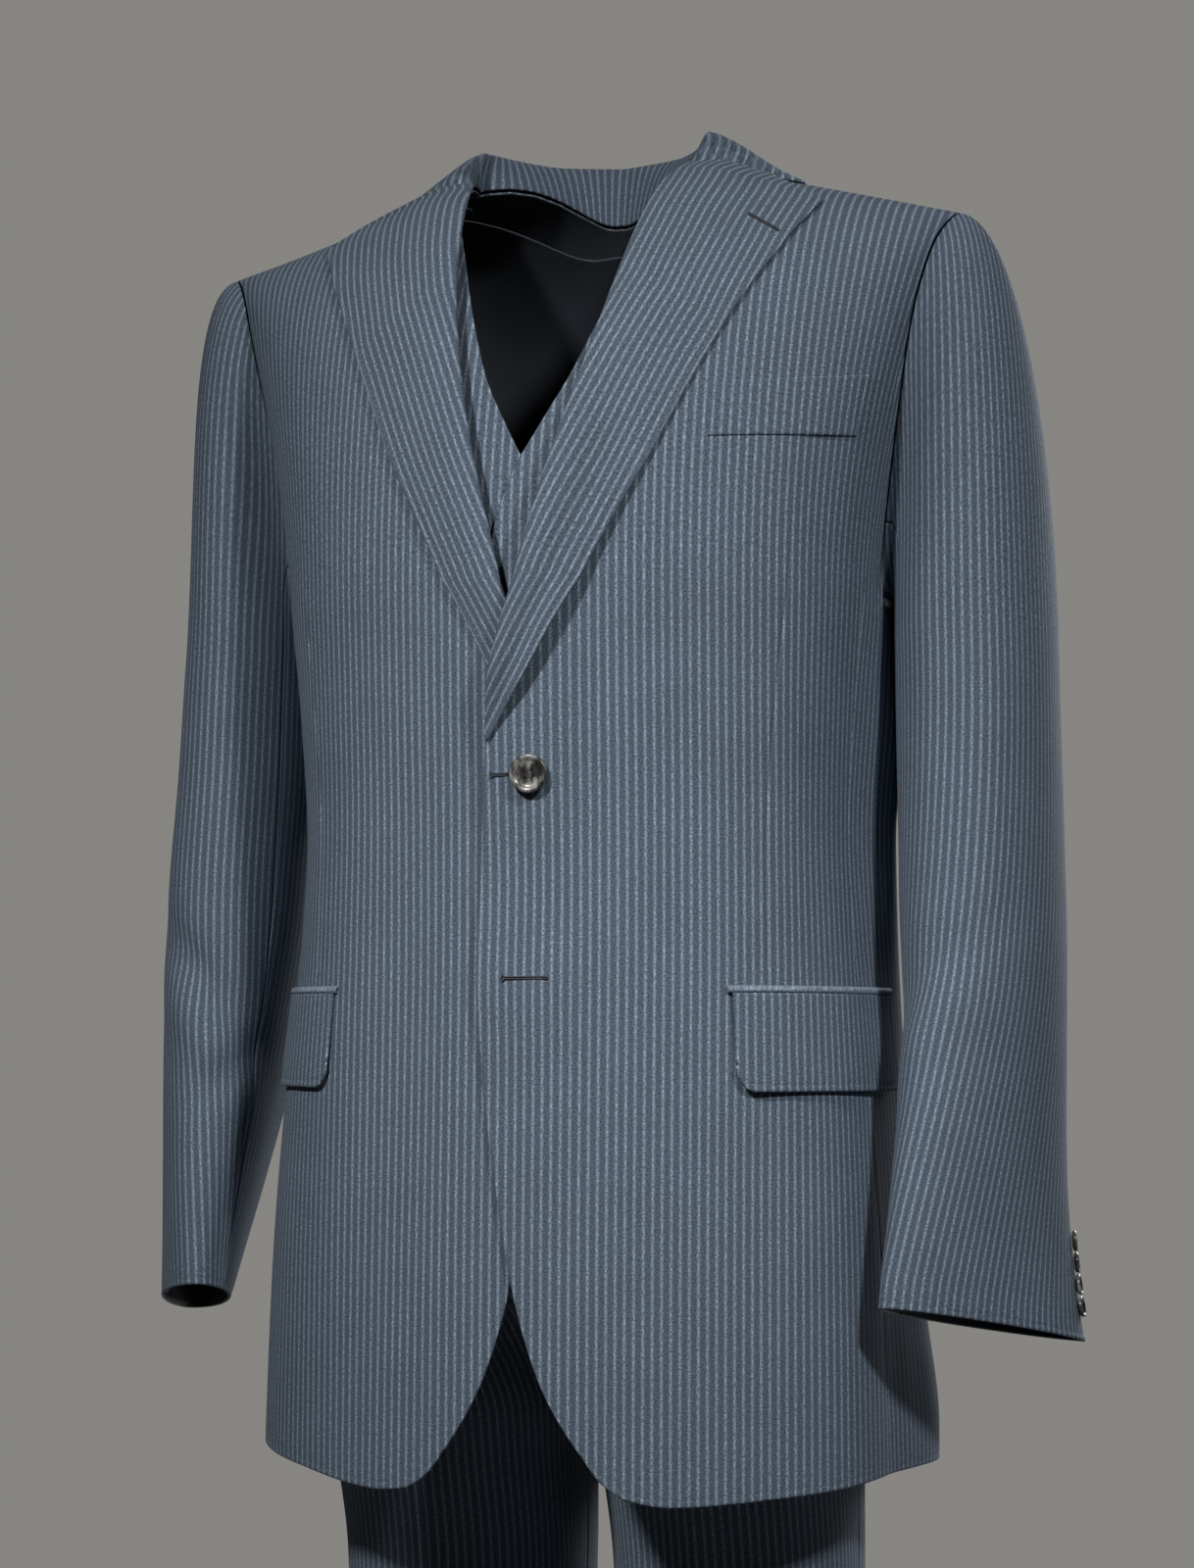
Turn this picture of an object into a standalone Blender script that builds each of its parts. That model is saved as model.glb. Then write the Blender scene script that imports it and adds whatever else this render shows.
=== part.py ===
# Three-piece suit: a two-button jacket with notch lapels, a waistcoat and trousers, as worn.
# Metres, +Z up. The wearer faces -Y and the wearer's left is +X. The origin is the middle of the
# neck opening, level with the jacket's highest shoulder points.
# Every piece of cloth is a wall: a grid laid on a form worked out from the sizes below, with a second
# layer one cloth thickness inside it. Angles go round the body from 0 at the centre front to 180 at
# the centre back, positive on the wearer's left. A level is a height up to the chest line and, above
# it, runs to 0 at the shoulder ridge, where the form leans back over the shoulder.

import math

import bmesh
import bpy
import numpy as np

# Cloth and gaps
WOOL = 0.0016
LIGHT_WOOL = 0.0014
ON_TOP = 0.0004
EDGE_GAP = 0.0004
SEAM_TURN = 0.10
MIDDLE_TURN = 0.12

# Jacket body form below the chest line
JACKET_ROWS = (
    # level, half width, front depth, back depth
    (-0.250, 0.1740, 0.138, 0.125),
    (-0.310, 0.1680, 0.137, 0.115),
    (-0.385, 0.1640, 0.135, 0.108),
    (-0.440, 0.1670, 0.135, 0.112),
    (-0.520, 0.1750, 0.137, 0.128),
    (-0.640, 0.1840, 0.140, 0.142),
    (-0.800, 0.1900, 0.142, 0.150),
)
CHEST = -0.250
SHOULDER_X = 0.222
SHOULDER_DROP = 0.036
NECK_X = 0.085
NAPE_RISE = 0.010
RIDGE_Y = 0.020
BOX = 0.90
RIDGE_BLEND = -0.030
SHOULDER_SEAM = 0.0003

# Armhole: an ellipse on the form, seen from the side
ARM_ANGLE = 18.0
ARM_HALF = 0.125
SIDE_SEAM = 74.6
SIDE_TOP = -0.190
SIDE_DROP = 0.0010

# Jacket front edge from the shoulder down the roll line, past the button and round the quarter
FRONT_EDGE = (
    # level, x
    (0.000, 0.071),
    (-0.040, 0.066),
    (-0.073, 0.060),
    (-0.105, 0.055),
    (-0.140, 0.048),
    (-0.170, 0.040),
    (-0.199, 0.030),
    (-0.221, 0.021),
    (-0.245, 0.011),
    (-0.280, 0.000),
    (-0.315, -0.009),
    (-0.340, -0.014),
    (-0.400, -0.018),
    (-0.460, -0.020),
    (-0.520, -0.017),
    (-0.580, -0.009),
    (-0.640, 0.002),
    (-0.680, 0.014),
    (-0.705, 0.026),
    (-0.722, 0.037),
)
FRONT_HEM = (
    # share of the width, level
    (0.00, -0.7220),
    (0.07, -0.7400),
    (0.15, -0.7490),
    (0.28, -0.7525),
    (0.55, -0.7490),
    (1.00, -0.7400),
)
BODY_HEM = -0.740
BACK_NECK = -0.068
BACK_NECK_SHARE = 0.19
OVERLAP_LIFT = 0.0072
LIFT_FROM = 0.050
LIFT_TO = 0.016

# Lapels
LAPEL_EDGE = (
    # level, x
    (0.000, 0.1500),
    (-0.053, 0.1490),
    (-0.100, 0.1350),
    (-0.140, 0.1150),
    (-0.178, 0.0930),
    (-0.206, 0.0750),
    (-0.230, 0.0560),
    (-0.250, 0.0400),
    (-0.271, 0.0280),
    (-0.299, 0.0130),
    (-0.318, 0.0030),
    (-0.328, -0.0030),
)
LAPEL_TOP = (
    # share of the width, level
    (0.00, -0.0400),
    (0.58, -0.0310),
    (1.00, -0.0530),
)
BREAK = -0.326
LAPEL_ROLL = 0.0035

# Collar, from the centre back to the front end; its neck edge follows the necklines
COLLAR_ROWS = (
    # station, crease x, crease y, crease z, edge x, edge y
    (0.00, 0.0000, 0.0770, 0.0250, 0.000, 0.0860),
    (0.22, 0.0370, 0.0690, 0.0255, 0.060, 0.0800),
    (0.42, 0.0630, 0.0470, 0.0260, 0.099, 0.0570),
    (0.62, 0.0740, 0.0190, 0.0235, 0.120, 0.0300),
    (0.82, 0.0750, -0.0040, 0.0130, 0.130, 0.0080),
    (1.00, 0.0690, -0.0180, -0.0010, 0.134, -0.0080),
)
SHOULDER_STATION = 0.62
GORGE_LEVEL = -0.036
GORGE_BOW = 0.0024
COLLAR_ROLL = 0.0040

# Sleeves, wearer's left; the right one is mirrored
SLEEVE_ROWS = (
    # height, x, y, outward half, front half
    (-0.270, 0.2200, 0.038, 0.0430, 0.0760),
    (-0.340, 0.2220, 0.036, 0.0430, 0.0760),
    (-0.420, 0.2260, 0.030, 0.0430, 0.0740),
    (-0.500, 0.2300, 0.019, 0.0390, 0.0710),
    (-0.580, 0.2330, 0.004, 0.0320, 0.0690),
    (-0.666, 0.2390, -0.012, 0.0220, 0.0670),
)
CUFF_TURN_LEFT = 38.0
CUFF_TURN_RIGHT = 30.0
CAP_SHARE = 0.30
SLEEVE_GAP = 0.0012
FRONT_SLEEVE_SEAM = 140.0
BACK_SLEEVE_SEAM = 285.0
SLEEVE_TURN = 0.22

# Pockets
FLAP_FROM = 40.0
FLAP_TO = 92.0
FLAP_TOP = -0.4760
FLAP_DEEP = 0.0540
FLAP_CORNER = 0.0080
FLAP_FLARE = 0.0004
JET_HIGH = 0.0048
JET_THICK = 0.0012
JET_PAST = 1.0
WELT_FROM = 32.0
WELT_TO = 68.0
WELT_LOW = (-0.1995, -0.1910)
WELT_HIGH = (-0.1780, -0.1630)
WELT_THICK = 0.0014

# Waistcoat
VEST_IN = 0.0086
VEST_LIFT = 0.0028
VEST_EDGE = (
    # level, x
    (0.000, 0.078),
    (-0.050, 0.071),
    (-0.110, 0.052),
    (-0.150, 0.037),
    (-0.175, 0.025),
    (-0.195, 0.010),
    (-0.215, -0.006),
    (-0.240, -0.016),
    (-0.300, -0.018),
    (-0.480, -0.018),
    (-0.500, -0.010),
)
VEST_HEM = (
    # share of the width, level
    (0.00, -0.500),
    (0.20, -0.530),
    (0.35, -0.522),
    (1.00, -0.490),
)
VEST_SHOULDER = 52.0
VEST_ARM_LOW = -0.275
VEST_SIDE = 90.0
VEST_TOP = -0.0010
VEST_BACK_NECK = -0.080
NAPE_CLEAR = 0.008

# Trousers
TROUSER_ROWS = (
    # height, half width, front depth, back depth
    (-0.395, 0.1522, 0.1226, 0.0962),
    (-0.440, 0.1543, 0.1230, 0.0995),
    (-0.500, 0.1580, 0.1200, 0.1080),
    (-0.600, 0.1640, 0.1130, 0.1240),
    (-0.720, 0.1660, 0.1060, 0.1280),
)
LEG_ROWS = (
    # height, inner x, outer x, middle y, front half
    (-0.600, 0.0004, 0.1640, 0.006, 0.1180),
    (-0.700, 0.0004, 0.1600, 0.016, 0.1000),
    (-0.740, 0.0070, 0.1550, 0.024, 0.0940),
    (-0.800, 0.0110, 0.1520, 0.036, 0.0900),
    (-0.950, 0.0160, 0.1500, 0.042, 0.0870),
    (-1.100, 0.0210, 0.1480, 0.042, 0.0820),
    (-1.280, 0.0240, 0.1440, 0.046, 0.0780),
    (-1.450, 0.0260, 0.1420, 0.044, 0.0760),
)
WAIST_SEAM = -0.436
WAIST_TOP = -0.397
BAND_OUT = 0.0008
BAND_THICK = 0.0018
FORK_FROM = -0.600
FORK_TO = -0.712

# Buttons
FRONT_BUTTON = 0.0107
BUTTON_THICK = 0.0041
SMALL_BUTTON_THICK = 0.0030
CUFF_BUTTON = 0.0060
VEST_BUTTON = 0.0072
UPPER_BUTTON = (0.011, -0.357)
LOWER_BUTTON = (0.001, -0.468)
VEST_BUTTON_TOP = -0.290
VEST_BUTTON_STEP = 0.047
CUFF_BUTTON_LOW = 0.023
CUFF_BUTTON_STEP = 0.0125
CUFF_BUTTON_ANGLE = 14.0


def smooth(rows, at, column):
    """Read a table along a smooth curve through its rows, first column against another."""
    places = [row[0] for row in rows]
    values = [row[column] for row in rows]
    if places[0] > places[-1]:
        places.reverse()
        values.reverse()
    last = len(places) - 1
    if at <= places[0]:
        return values[0]
    if at >= places[last]:
        return values[last]
    i = max(k for k in range(last) if places[k] <= at)
    width = places[i + 1] - places[i]
    t = (at - places[i]) / width

    def slope(k):
        if k == 0 or k == last:
            j = 0 if k == 0 else last - 1
            return (values[j + 1] - values[j]) / (places[j + 1] - places[j])
        before = (values[k] - values[k - 1]) / (places[k] - places[k - 1])
        after = (values[k + 1] - values[k]) / (places[k + 1] - places[k])
        if before * after <= 0.0:
            return 0.0
        return 2.0 * before * after / (before + after)

    a, b = values[i], values[i + 1]
    start, end = slope(i) * width, slope(i + 1) * width
    return ((2 * t**3 - 3 * t**2 + 1) * a + (t**3 - 2 * t**2 + t) * start
            + (3 * t**2 - 2 * t**3) * b + (t**3 - t**2) * end)


def ease(at, low, high):
    """0 below low, 1 above high, smooth between."""
    t = min(1.0, max(0.0, (at - low) / (high - low)))
    return t * t * (3.0 - 2.0 * t)


def mix(a, b, t):
    return a + (b - a) * t


# Body form

def ridge_height(x):
    beyond = max(0.0, abs(x) - NECK_X) / (SHOULDER_X - NECK_X)
    within = max(0.0, NECK_X - abs(x)) / NECK_X
    return NAPE_RISE * within - SHOULDER_DROP * beyond


def half_width(level):
    if level <= CHEST:
        return smooth(JACKET_ROWS, level, 1)
    rise = math.sin((level - CHEST) / -CHEST * math.pi / 2)
    return JACKET_ROWS[0][1] + (SHOULDER_X - JACKET_ROWS[0][1]) * rise ** 1.5


def body(angle, level):
    """A point of the jacket's outer form."""
    turn = math.radians(angle)
    s, c = math.sin(turn), math.cos(turn)
    across = math.copysign(abs(s) ** BOX, s)
    ahead = math.copysign(abs(c) ** BOX, c)
    column = 2 if c >= 0 else 3
    x = half_width(level) * across
    if level <= CHEST:
        return np.array([x, -smooth(JACKET_ROWS, level, column) * ahead, level])
    lean = (level - CHEST) / -CHEST * math.pi / 2
    rise = math.sin(lean)
    depth = JACKET_ROWS[0][column] * math.cos(lean)
    y = RIDGE_Y * (1.0 - abs(x) / SHOULDER_X) * rise ** 2 - depth * ahead
    return np.array([x, y, CHEST + (ridge_height(x) - CHEST) * rise])


def out_of(surface, a, b, step_a, step_b):
    """Unit normal of a surface by central differences."""
    along = surface(a + step_a, b) - surface(a - step_a, b)
    up = surface(a, b + step_b) - surface(a, b - step_b)
    normal = np.cross(along, up)
    return normal / np.linalg.norm(normal)


def body_out(angle, level):
    """Outward normal of the form, turning into that of the shoulder ridge, which front and back share."""
    near = min(level, -0.004)
    if near > -0.080:
        side = math.copysign(1.0, angle)
        if abs(angle) <= 90.0:
            angle = side * min(abs(angle), 78.0)
        else:
            angle = side * max(abs(angle), 102.0)
    normal = out_of(body, angle, near, 0.5, 0.002)
    slope = SHOULDER_DROP / (SHOULDER_X - NECK_X)
    ridge = np.array([math.copysign(slope, angle), 0.0, 1.0]) / math.hypot(slope, 1.0)
    normal = mix(normal, ridge, ease(level, RIDGE_BLEND, 0.0))
    return normal / np.linalg.norm(normal)


def on_body(angle, level, out):
    point = body(angle, level) + body_out(angle, level) * out
    apart = SHOULDER_SEAM * ease(level, RIDGE_BLEND, 0.0)
    point[1] += -apart if abs(angle) < 90.0 else apart
    return point


def angle_of(x, level):
    """Angle at which the form has this x, in front."""
    share = min(1.0, abs(x) / half_width(level))
    return math.copysign(math.degrees(math.asin(share ** (1.0 / BOX))), x)


def armhole_angle(level):
    """Distance of the armhole from the side line, in degrees."""
    share = (level + ARM_HALF) / ARM_HALF
    return ARM_ANGLE * math.sqrt(max(0.0, 1.0 - share * share))


def front_side(level):
    """Side boundary of the jacket front: the side seam, then the armhole."""
    if level < SIDE_TOP:
        return SIDE_SEAM
    return 90.0 - armhole_angle(level)


def spread(u):
    """Columns of a front, closer together towards its front edge."""
    return u * (0.45 + 0.55 * u)


def overlap(x):
    """How far the left front is moved out where it lies on the right one."""
    return OVERLAP_LIFT * (1.0 - ease(x, LIFT_TO, LIFT_FROM))


def shoulder_height(x, y):
    """Height of the form over a point of the shoulder, found between the chest line and the ridge."""
    ahead = y < RIDGE_Y * (1.0 - abs(x) / SHOULDER_X)
    low, high = CHEST, 0.0
    for _ in range(24):
        level = (low + high) / 2.0
        angle = angle_of(x, level)
        point = body(angle if ahead else 180.0 - angle, level)
        if (point[1] > y) == ahead:
            high = level
        else:
            low = level
    return point[2]


# Building

def material(name, colour, roughness):
    made = bpy.data.materials.new(name)
    made.use_nodes = True
    shader = made.node_tree.nodes["Principled BSDF"]
    shader.inputs["Base Color"].default_value = (*colour, 1.0)
    shader.inputs["Roughness"].default_value = roughness
    shader.inputs["Metallic"].default_value = 0.0
    made.diffuse_color = (*colour, 1.0)
    return made


def finish_mesh(name, mesh_data, look):
    bmesh.ops.recalc_face_normals(mesh_data, faces=mesh_data.faces)
    if mesh_data.calc_volume(signed=True) < 0.0:
        bmesh.ops.reverse_faces(mesh_data, faces=mesh_data.faces)
    mesh = bpy.data.meshes.new(name)
    mesh_data.to_mesh(mesh)
    mesh_data.free()
    mesh.materials.append(look)
    mesh.shade_smooth()
    mesh.set_sharp_from_angle(angle=math.radians(40))
    piece = bpy.data.objects.new(name, mesh)
    parts.objects.link(piece)
    return piece


def wall(name, columns, rows, place, look):
    """A cloth wall: a grid with a second layer, each point put by place(u, v, layer), 0 outside."""
    data = bmesh.new()
    bmesh.ops.create_grid(data, x_segments=columns, y_segments=rows, size=0.5)
    outside = list(data.verts)
    made = bmesh.ops.extrude_face_region(data, geom=list(data.faces))
    inside = [item for item in made["geom"] if isinstance(item, bmesh.types.BMVert)]
    for layer, points in ((0, outside), (1, inside)):
        for point in points:
            point.co = place(point.co.x + 0.5, point.co.y + 0.5, layer)
    return finish_mesh(name, data, look)


def button(name, radius, thick, centre, out, look, sides):
    """A sewn button: a turned disc with a rim and a dished face, its back on the cloth."""
    profile = (
        # share of the radius, share of the thickness
        (0.00, 0.00),
        (0.70, 0.00),
        (1.00, 0.40),
        (0.94, 0.90),
        (0.80, 1.00),
        (0.62, 0.72),
        (0.00, 0.66),
    )
    data = bmesh.new()
    ring = [data.verts.new((radius * r, 0.0, thick * h)) for r, h in profile]
    edges = [data.edges.new(pair) for pair in zip(ring, ring[1:])]
    bmesh.ops.spin(data, geom=ring + edges, cent=(0, 0, 0), axis=(0, 0, 1), angle=math.tau,
                   steps=sides, use_duplicate=False)
    bmesh.ops.remove_doubles(data, verts=data.verts, dist=0.00005)
    across = np.cross((0.0, 0.0, 1.0), out)
    across = across / np.linalg.norm(across)
    up = np.cross(out, across)
    for point in data.verts:
        x, y, z = point.co
        point.co = centre + across * x + up * y + np.asarray(out) * z
    return finish_mesh(name, data, look)


# Jacket

def jacket_front(side):
    """side is 1 on the wearer's left and -1 on the right; the left one laps over the right."""
    name = "front_left" if side > 0 else "front_right"

    def place(u, v, layer):
        low = smooth(FRONT_HEM, spread(u), 1)
        level = mix(low, -EDGE_GAP, v ** 0.92)
        inner = angle_of(smooth(FRONT_EDGE, level, 1), level)
        outer = front_side(level) - SEAM_TURN
        angle = mix(inner, outer, spread(u))
        x = body(angle, level)[0]
        lift = overlap(x) if side > 0 else 0.0
        point = on_body(angle, level, lift - WOOL * layer)
        return point * (side, 1, 1)

    return wall(name, 9, 21, place, suit)


def jacket_side(side):
    """The side body, from the armhole to the hem."""
    name = "side_left" if side > 0 else "side_right"

    def place(u, v, layer):
        angle = mix(SIDE_SEAM + SEAM_TURN, 180.0 - SIDE_SEAM - SEAM_TURN, u)
        reach = (angle - 90.0) / ARM_ANGLE
        top = -ARM_HALF - ARM_HALF * math.sqrt(1.0 - reach * reach) - SIDE_DROP
        level = mix(BODY_HEM, top, v)
        return on_body(angle, level, -WOOL * layer) * (side, 1, 1)

    return wall(name, 5, 11, place, suit)


def back_neck_level(u):
    """Top edge of a back half: the neck, then the shoulder seam."""
    return mix(BACK_NECK, -EDGE_GAP, ease(u, 0.0, BACK_NECK_SHARE))


def back_angle(u, level):
    """Angle on a back half, from the centre seam to its side boundary."""
    return mix(180.0 - MIDDLE_TURN, 180.0 - front_side(level) + SEAM_TURN, u)


def jacket_back(side):
    """One back half."""
    name = "back_left" if side > 0 else "back_right"

    def place(u, v, layer):
        level = mix(BODY_HEM, back_neck_level(u), v)
        angle = back_angle(u, level)
        return on_body(angle, level, -WOOL * layer) * (side, 1, 1)

    return wall(name, 7, 15, place, suit)


def jacket_lapel(side):
    """The turned-back lapel, lying on its front and rolling off it towards the fold."""
    name = "lapel_left" if side > 0 else "lapel_right"

    def place(u, v, layer):
        top = float(np.interp(u, [row[0] for row in LAPEL_TOP], [row[1] for row in LAPEL_TOP]))
        level = mix(BREAK, top, v)
        x = mix(smooth(FRONT_EDGE, level, 1) + EDGE_GAP, smooth(LAPEL_EDGE, level, 1), u)
        angle = angle_of(x, level)
        roll = LAPEL_ROLL * math.sin(math.pi * u ** 0.6) ** 1.3 * ease(level, BREAK + 0.03, -0.235)
        lift = overlap(x) if side > 0 else 0.0
        out = lift + 2.0 * ON_TOP + WOOL * (1 - layer) + roll
        return on_body(angle, level, out) * (side, 1, 1)

    return wall(name, 5, 14, place, suit)


def neckline(station):
    """Neck edge on the wearer's left: the back's top edge, then the front's down to the gorge."""
    if station <= SHOULDER_STATION:
        u = BACK_NECK_SHARE * station / SHOULDER_STATION
        level = back_neck_level(u)
        return on_body(back_angle(u, level), level, 0.0)
    level = mix(-EDGE_GAP, GORGE_LEVEL, (station - SHOULDER_STATION) / (1.0 - SHOULDER_STATION))
    return on_body(angle_of(smooth(FRONT_EDGE, level, 1), level), level, 0.0)


def collar_section(station, share):
    """A point of the collar: share 0 to 1 up the stand, 1 to 2 down the fall to the outer edge."""
    side = math.copysign(1.0, station)
    place = abs(station)
    crease = np.array([smooth(COLLAR_ROWS, place, column) for column in (1, 2, 3)])
    clear = ON_TOP + WOOL / 2.0
    if share <= 1.0:
        neck = neckline(place) + np.array([0.0, 0.0, clear])
        point = mix(neck, crease, math.sin(share * math.pi / 2))
        point = point - (crease - neck) * (0.15, 0.15, 0.0) * math.sin(share * math.pi)
        return point * (side, 1, 1)
    down = share - 1.0
    edge = np.array([smooth(COLLAR_ROWS, place, column) for column in (4, 5)])
    height = shoulder_height(edge[0], edge[1]) + clear
    edge = np.array([edge[0], edge[1], height])
    point = mix(crease, edge, down)
    roll = COLLAR_ROLL * math.sin(math.pi * down ** 0.65) * ease(1.0 - place, 0.0, 0.35)
    flat = (edge - crease) * (1, 1, 0)
    point = point + flat / np.linalg.norm(flat) * roll * 0.6 + np.array([0, 0, roll * 0.8])
    point[1] -= GORGE_BOW * math.sin(math.pi * down) * ease(place, 0.80, 1.0)
    floor = shoulder_height(point[0], point[1]) + clear * 1.1
    point[2] = max(point[2], floor)
    return point * (side, 1, 1)


def jacket_collar():
    def place(u, v, layer):
        station = mix(-1.0, 1.0, u)
        share = mix(0.0, 2.0, v)
        near = min(max(station, -0.97), 0.97)
        if abs(near) < 0.03:
            near = 0.03
        inward = out_of(collar_section, near, min(max(share, 0.06), 1.94), 0.02, 0.05)
        return collar_section(station, share) + inward * WOOL * (0.5 - layer)

    return wall("collar", 24, 8, place, suit)


def sleeve_ring(height, turn_angle, cuff_turn):
    """A point of the sleeve tube; the angle is 0 outward, 90 in front, 180 inside, 270 behind."""
    x, y, a, b = (smooth(SLEEVE_ROWS, height, column) for column in range(1, 5))
    share = (SLEEVE_ROWS[0][0] - height) / (SLEEVE_ROWS[0][0] - SLEEVE_ROWS[-1][0])
    twist = math.radians(cuff_turn) * max(0.0, share) ** 2
    slope_y = (smooth(SLEEVE_ROWS, height - 0.01, 2) - smooth(SLEEVE_ROWS, height + 0.01, 2)) / 0.02
    turn = math.radians(turn_angle)
    outward = a * math.cos(turn)
    forward = b * math.sin(turn)
    dx = outward * math.cos(twist) - forward * math.sin(twist)
    dy = -outward * math.sin(twist) - forward * math.cos(twist)
    return np.array([x + dx, y + dy, height + dy * slope_y])


def sleeve_point(along, turn_angle, cuff_turn):
    """along is 0 at the armhole, CAP_SHARE where the tube begins and 1 at the cuff."""
    first = SLEEVE_ROWS[0][0]
    last = SLEEVE_ROWS[-1][0]
    if along >= CAP_SHARE:
        share = (along - CAP_SHARE) / (1.0 - CAP_SHARE)
        return sleeve_ring(mix(first, last, share), turn_angle, cuff_turn)
    turn = math.radians(turn_angle)
    s, c = math.sin(turn), math.cos(turn)
    high = (1.0 + c) / 2.0
    level = min(-ARM_HALF + ARM_HALF * c, -0.001)
    start = body(90.0 - ARM_ANGLE * s, level)
    away = np.array([0.90, -0.42 * s, 0.05 * high - 0.30 * high * high + 0.25 * (1.0 - high)])
    away = away / np.linalg.norm(away)
    start = start + away * SLEEVE_GAP * (1.0 + high ** 4)
    end = sleeve_ring(first, turn_angle, cuff_turn)
    down = (sleeve_ring(first - 0.01, turn_angle, cuff_turn) - end) / 0.01
    reach = 0.006 + 0.026 * math.sin(turn / 2.0 + math.pi / 2) ** 2 + 0.010 * s * s
    rise = 0.016 + 0.105 * high
    t = along / CAP_SHARE
    first_handle = start + away * reach
    second_handle = end - down * rise
    return ((1 - t) ** 3 * start + 3 * t * (1 - t) ** 2 * first_handle
            + 3 * t * t * (1 - t) * second_handle + t ** 3 * end)


def sleeve_form(side):
    cuff_turn = CUFF_TURN_LEFT if side > 0 else CUFF_TURN_RIGHT

    def surface(turn_angle, along):
        return sleeve_point(along, turn_angle, cuff_turn)

    return surface


def sleeve_out(surface, turn_angle, along):
    return out_of(surface, turn_angle, min(max(along, 0.012), 0.99), 2.0, 0.010)


def sleeve(side, name, first_angle, last_angle, columns):
    surface = sleeve_form(side)

    def place(u, v, layer):
        turn_angle = mix(first_angle + SLEEVE_TURN, last_angle - SLEEVE_TURN, u)
        point = surface(turn_angle, v) - sleeve_out(surface, turn_angle, v) * WOOL * layer
        return point * (side, 1, 1)

    return wall(name, columns, 16, place, suit)


# Pockets and buttons

def flap(side):
    name = "flap_left" if side > 0 else "flap_right"

    def place(u, v, layer):
        angle = mix(FLAP_FROM, FLAP_TO, u)
        corner = FLAP_CORNER * max(0.0, 1.0 - u / 0.10) ** 2
        level = FLAP_TOP - (FLAP_DEEP - corner) * (1.0 - v)
        out = 2.0 * ON_TOP + FLAP_FLARE * (1.0 - v) + WOOL * (1 - layer)
        return on_body(angle, level, out) * (side, 1, 1)

    return wall(name, 10, 2, place, suit)


def jet(side):
    name = "jet_left" if side > 0 else "jet_right"

    def place(u, v, layer):
        angle = mix(FLAP_FROM - JET_PAST, FLAP_TO + JET_PAST, u)
        level = FLAP_TOP + EDGE_GAP + JET_HIGH * v
        return on_body(angle, level, 2.0 * ON_TOP + JET_THICK * (1 - layer)) * (side, 1, 1)

    return wall(name, 10, 1, place, suit)


def breast_welt():
    def place(u, v, layer):
        angle = mix(WELT_FROM, WELT_TO, u)
        level = mix(mix(*WELT_LOW, u), mix(*WELT_HIGH, u), v)
        return on_body(angle, level, ON_TOP + WELT_THICK * (1 - layer))

    return wall("breast_welt", 8, 2, place, suit)


def front_buttons():
    x, z = UPPER_BUTTON
    angle = angle_of(x, z)
    out = body_out(angle, z)
    lift = overlap(x) + 1.5 * ON_TOP
    button("button_upper", FRONT_BUTTON, BUTTON_THICK, on_body(angle, z, lift), out, horn, 20)
    x, z = LOWER_BUTTON
    angle = angle_of(x, z)
    button("button_lower", FRONT_BUTTON, BUTTON_THICK, on_body(angle, z, ON_TOP), body_out(angle, z), horn, 20)


def cuff_buttons(side):
    surface = sleeve_form(side)
    word = "left" if side > 0 else "right"
    length = (SLEEVE_ROWS[0][0] - SLEEVE_ROWS[-1][0]) / (1.0 - CAP_SHARE)
    turn_angle = BACK_SLEEVE_SEAM + CUFF_BUTTON_ANGLE
    for i in range(4):
        along = 1.0 - (CUFF_BUTTON_LOW + CUFF_BUTTON_STEP * i) / length
        out = sleeve_out(surface, turn_angle, along)
        centre = (surface(turn_angle, along) + out * ON_TOP) * (side, 1, 1)
        button("cuff_button_%s_%d" % (word, i + 1), CUFF_BUTTON, SMALL_BUTTON_THICK, centre,
               out * (side, 1, 1), horn, 10)


# Waistcoat

def vest_arm(level):
    """Angle from the centre front to the waistcoat's armhole."""
    if level <= VEST_ARM_LOW:
        return VEST_SIDE
    share = (level - VEST_ARM_LOW) / -VEST_ARM_LOW
    return mix(VEST_SIDE, VEST_SHOULDER, ease(share, 0.0, 0.55) ** 0.8)


def vest_front(side):
    name = "vest_front_left" if side > 0 else "vest_front_right"

    def place(u, v, layer):
        level = mix(smooth(VEST_HEM, spread(u), 1), VEST_TOP, v)
        inner = angle_of(smooth(VEST_EDGE, level, 1), level)
        angle = mix(inner, vest_arm(level) - MIDDLE_TURN, mix(u, spread(u), 0.4))
        x = body(angle, level)[0]
        lift = VEST_LIFT * (1.0 - ease(x, LIFT_TO, LIFT_FROM)) if side > 0 else 0.0
        out = lift - VEST_IN - LIGHT_WOOL * layer
        return on_body(angle, level, out) * (side, 1, 1)

    return wall(name, 9, 13, place, suit)


def vest_back():
    def place(u, v, layer):
        across = abs(u - 0.5) * 2.0
        top = mix(VEST_BACK_NECK, VEST_TOP, ease(across, 0.05, 0.45))
        level = mix(VEST_HEM[-1][1], top, v)
        side = -1.0 if u < 0.5 else 1.0
        angle = 180.0 - (vest_arm(level) - MIDDLE_TURN) * across
        nape = NAPE_CLEAR * ease(level, -0.140, -0.060) * (1.0 - ease(across, 0.20, 0.50))
        return on_body(angle, level, -VEST_IN - nape - LIGHT_WOOL * layer) * (side, 1, 1)

    return wall("vest_back", 16, 12, place, vest_cloth)


def vest_buttons():
    for i in range(5):
        z = VEST_BUTTON_TOP - VEST_BUTTON_STEP * i
        out = body_out(0.0, z)
        centre = on_body(0.0, z, VEST_LIFT - VEST_IN + ON_TOP)
        button("vest_button_%d" % (i + 1), VEST_BUTTON, SMALL_BUTTON_THICK, centre, out, horn, 12)


# Trousers

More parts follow.
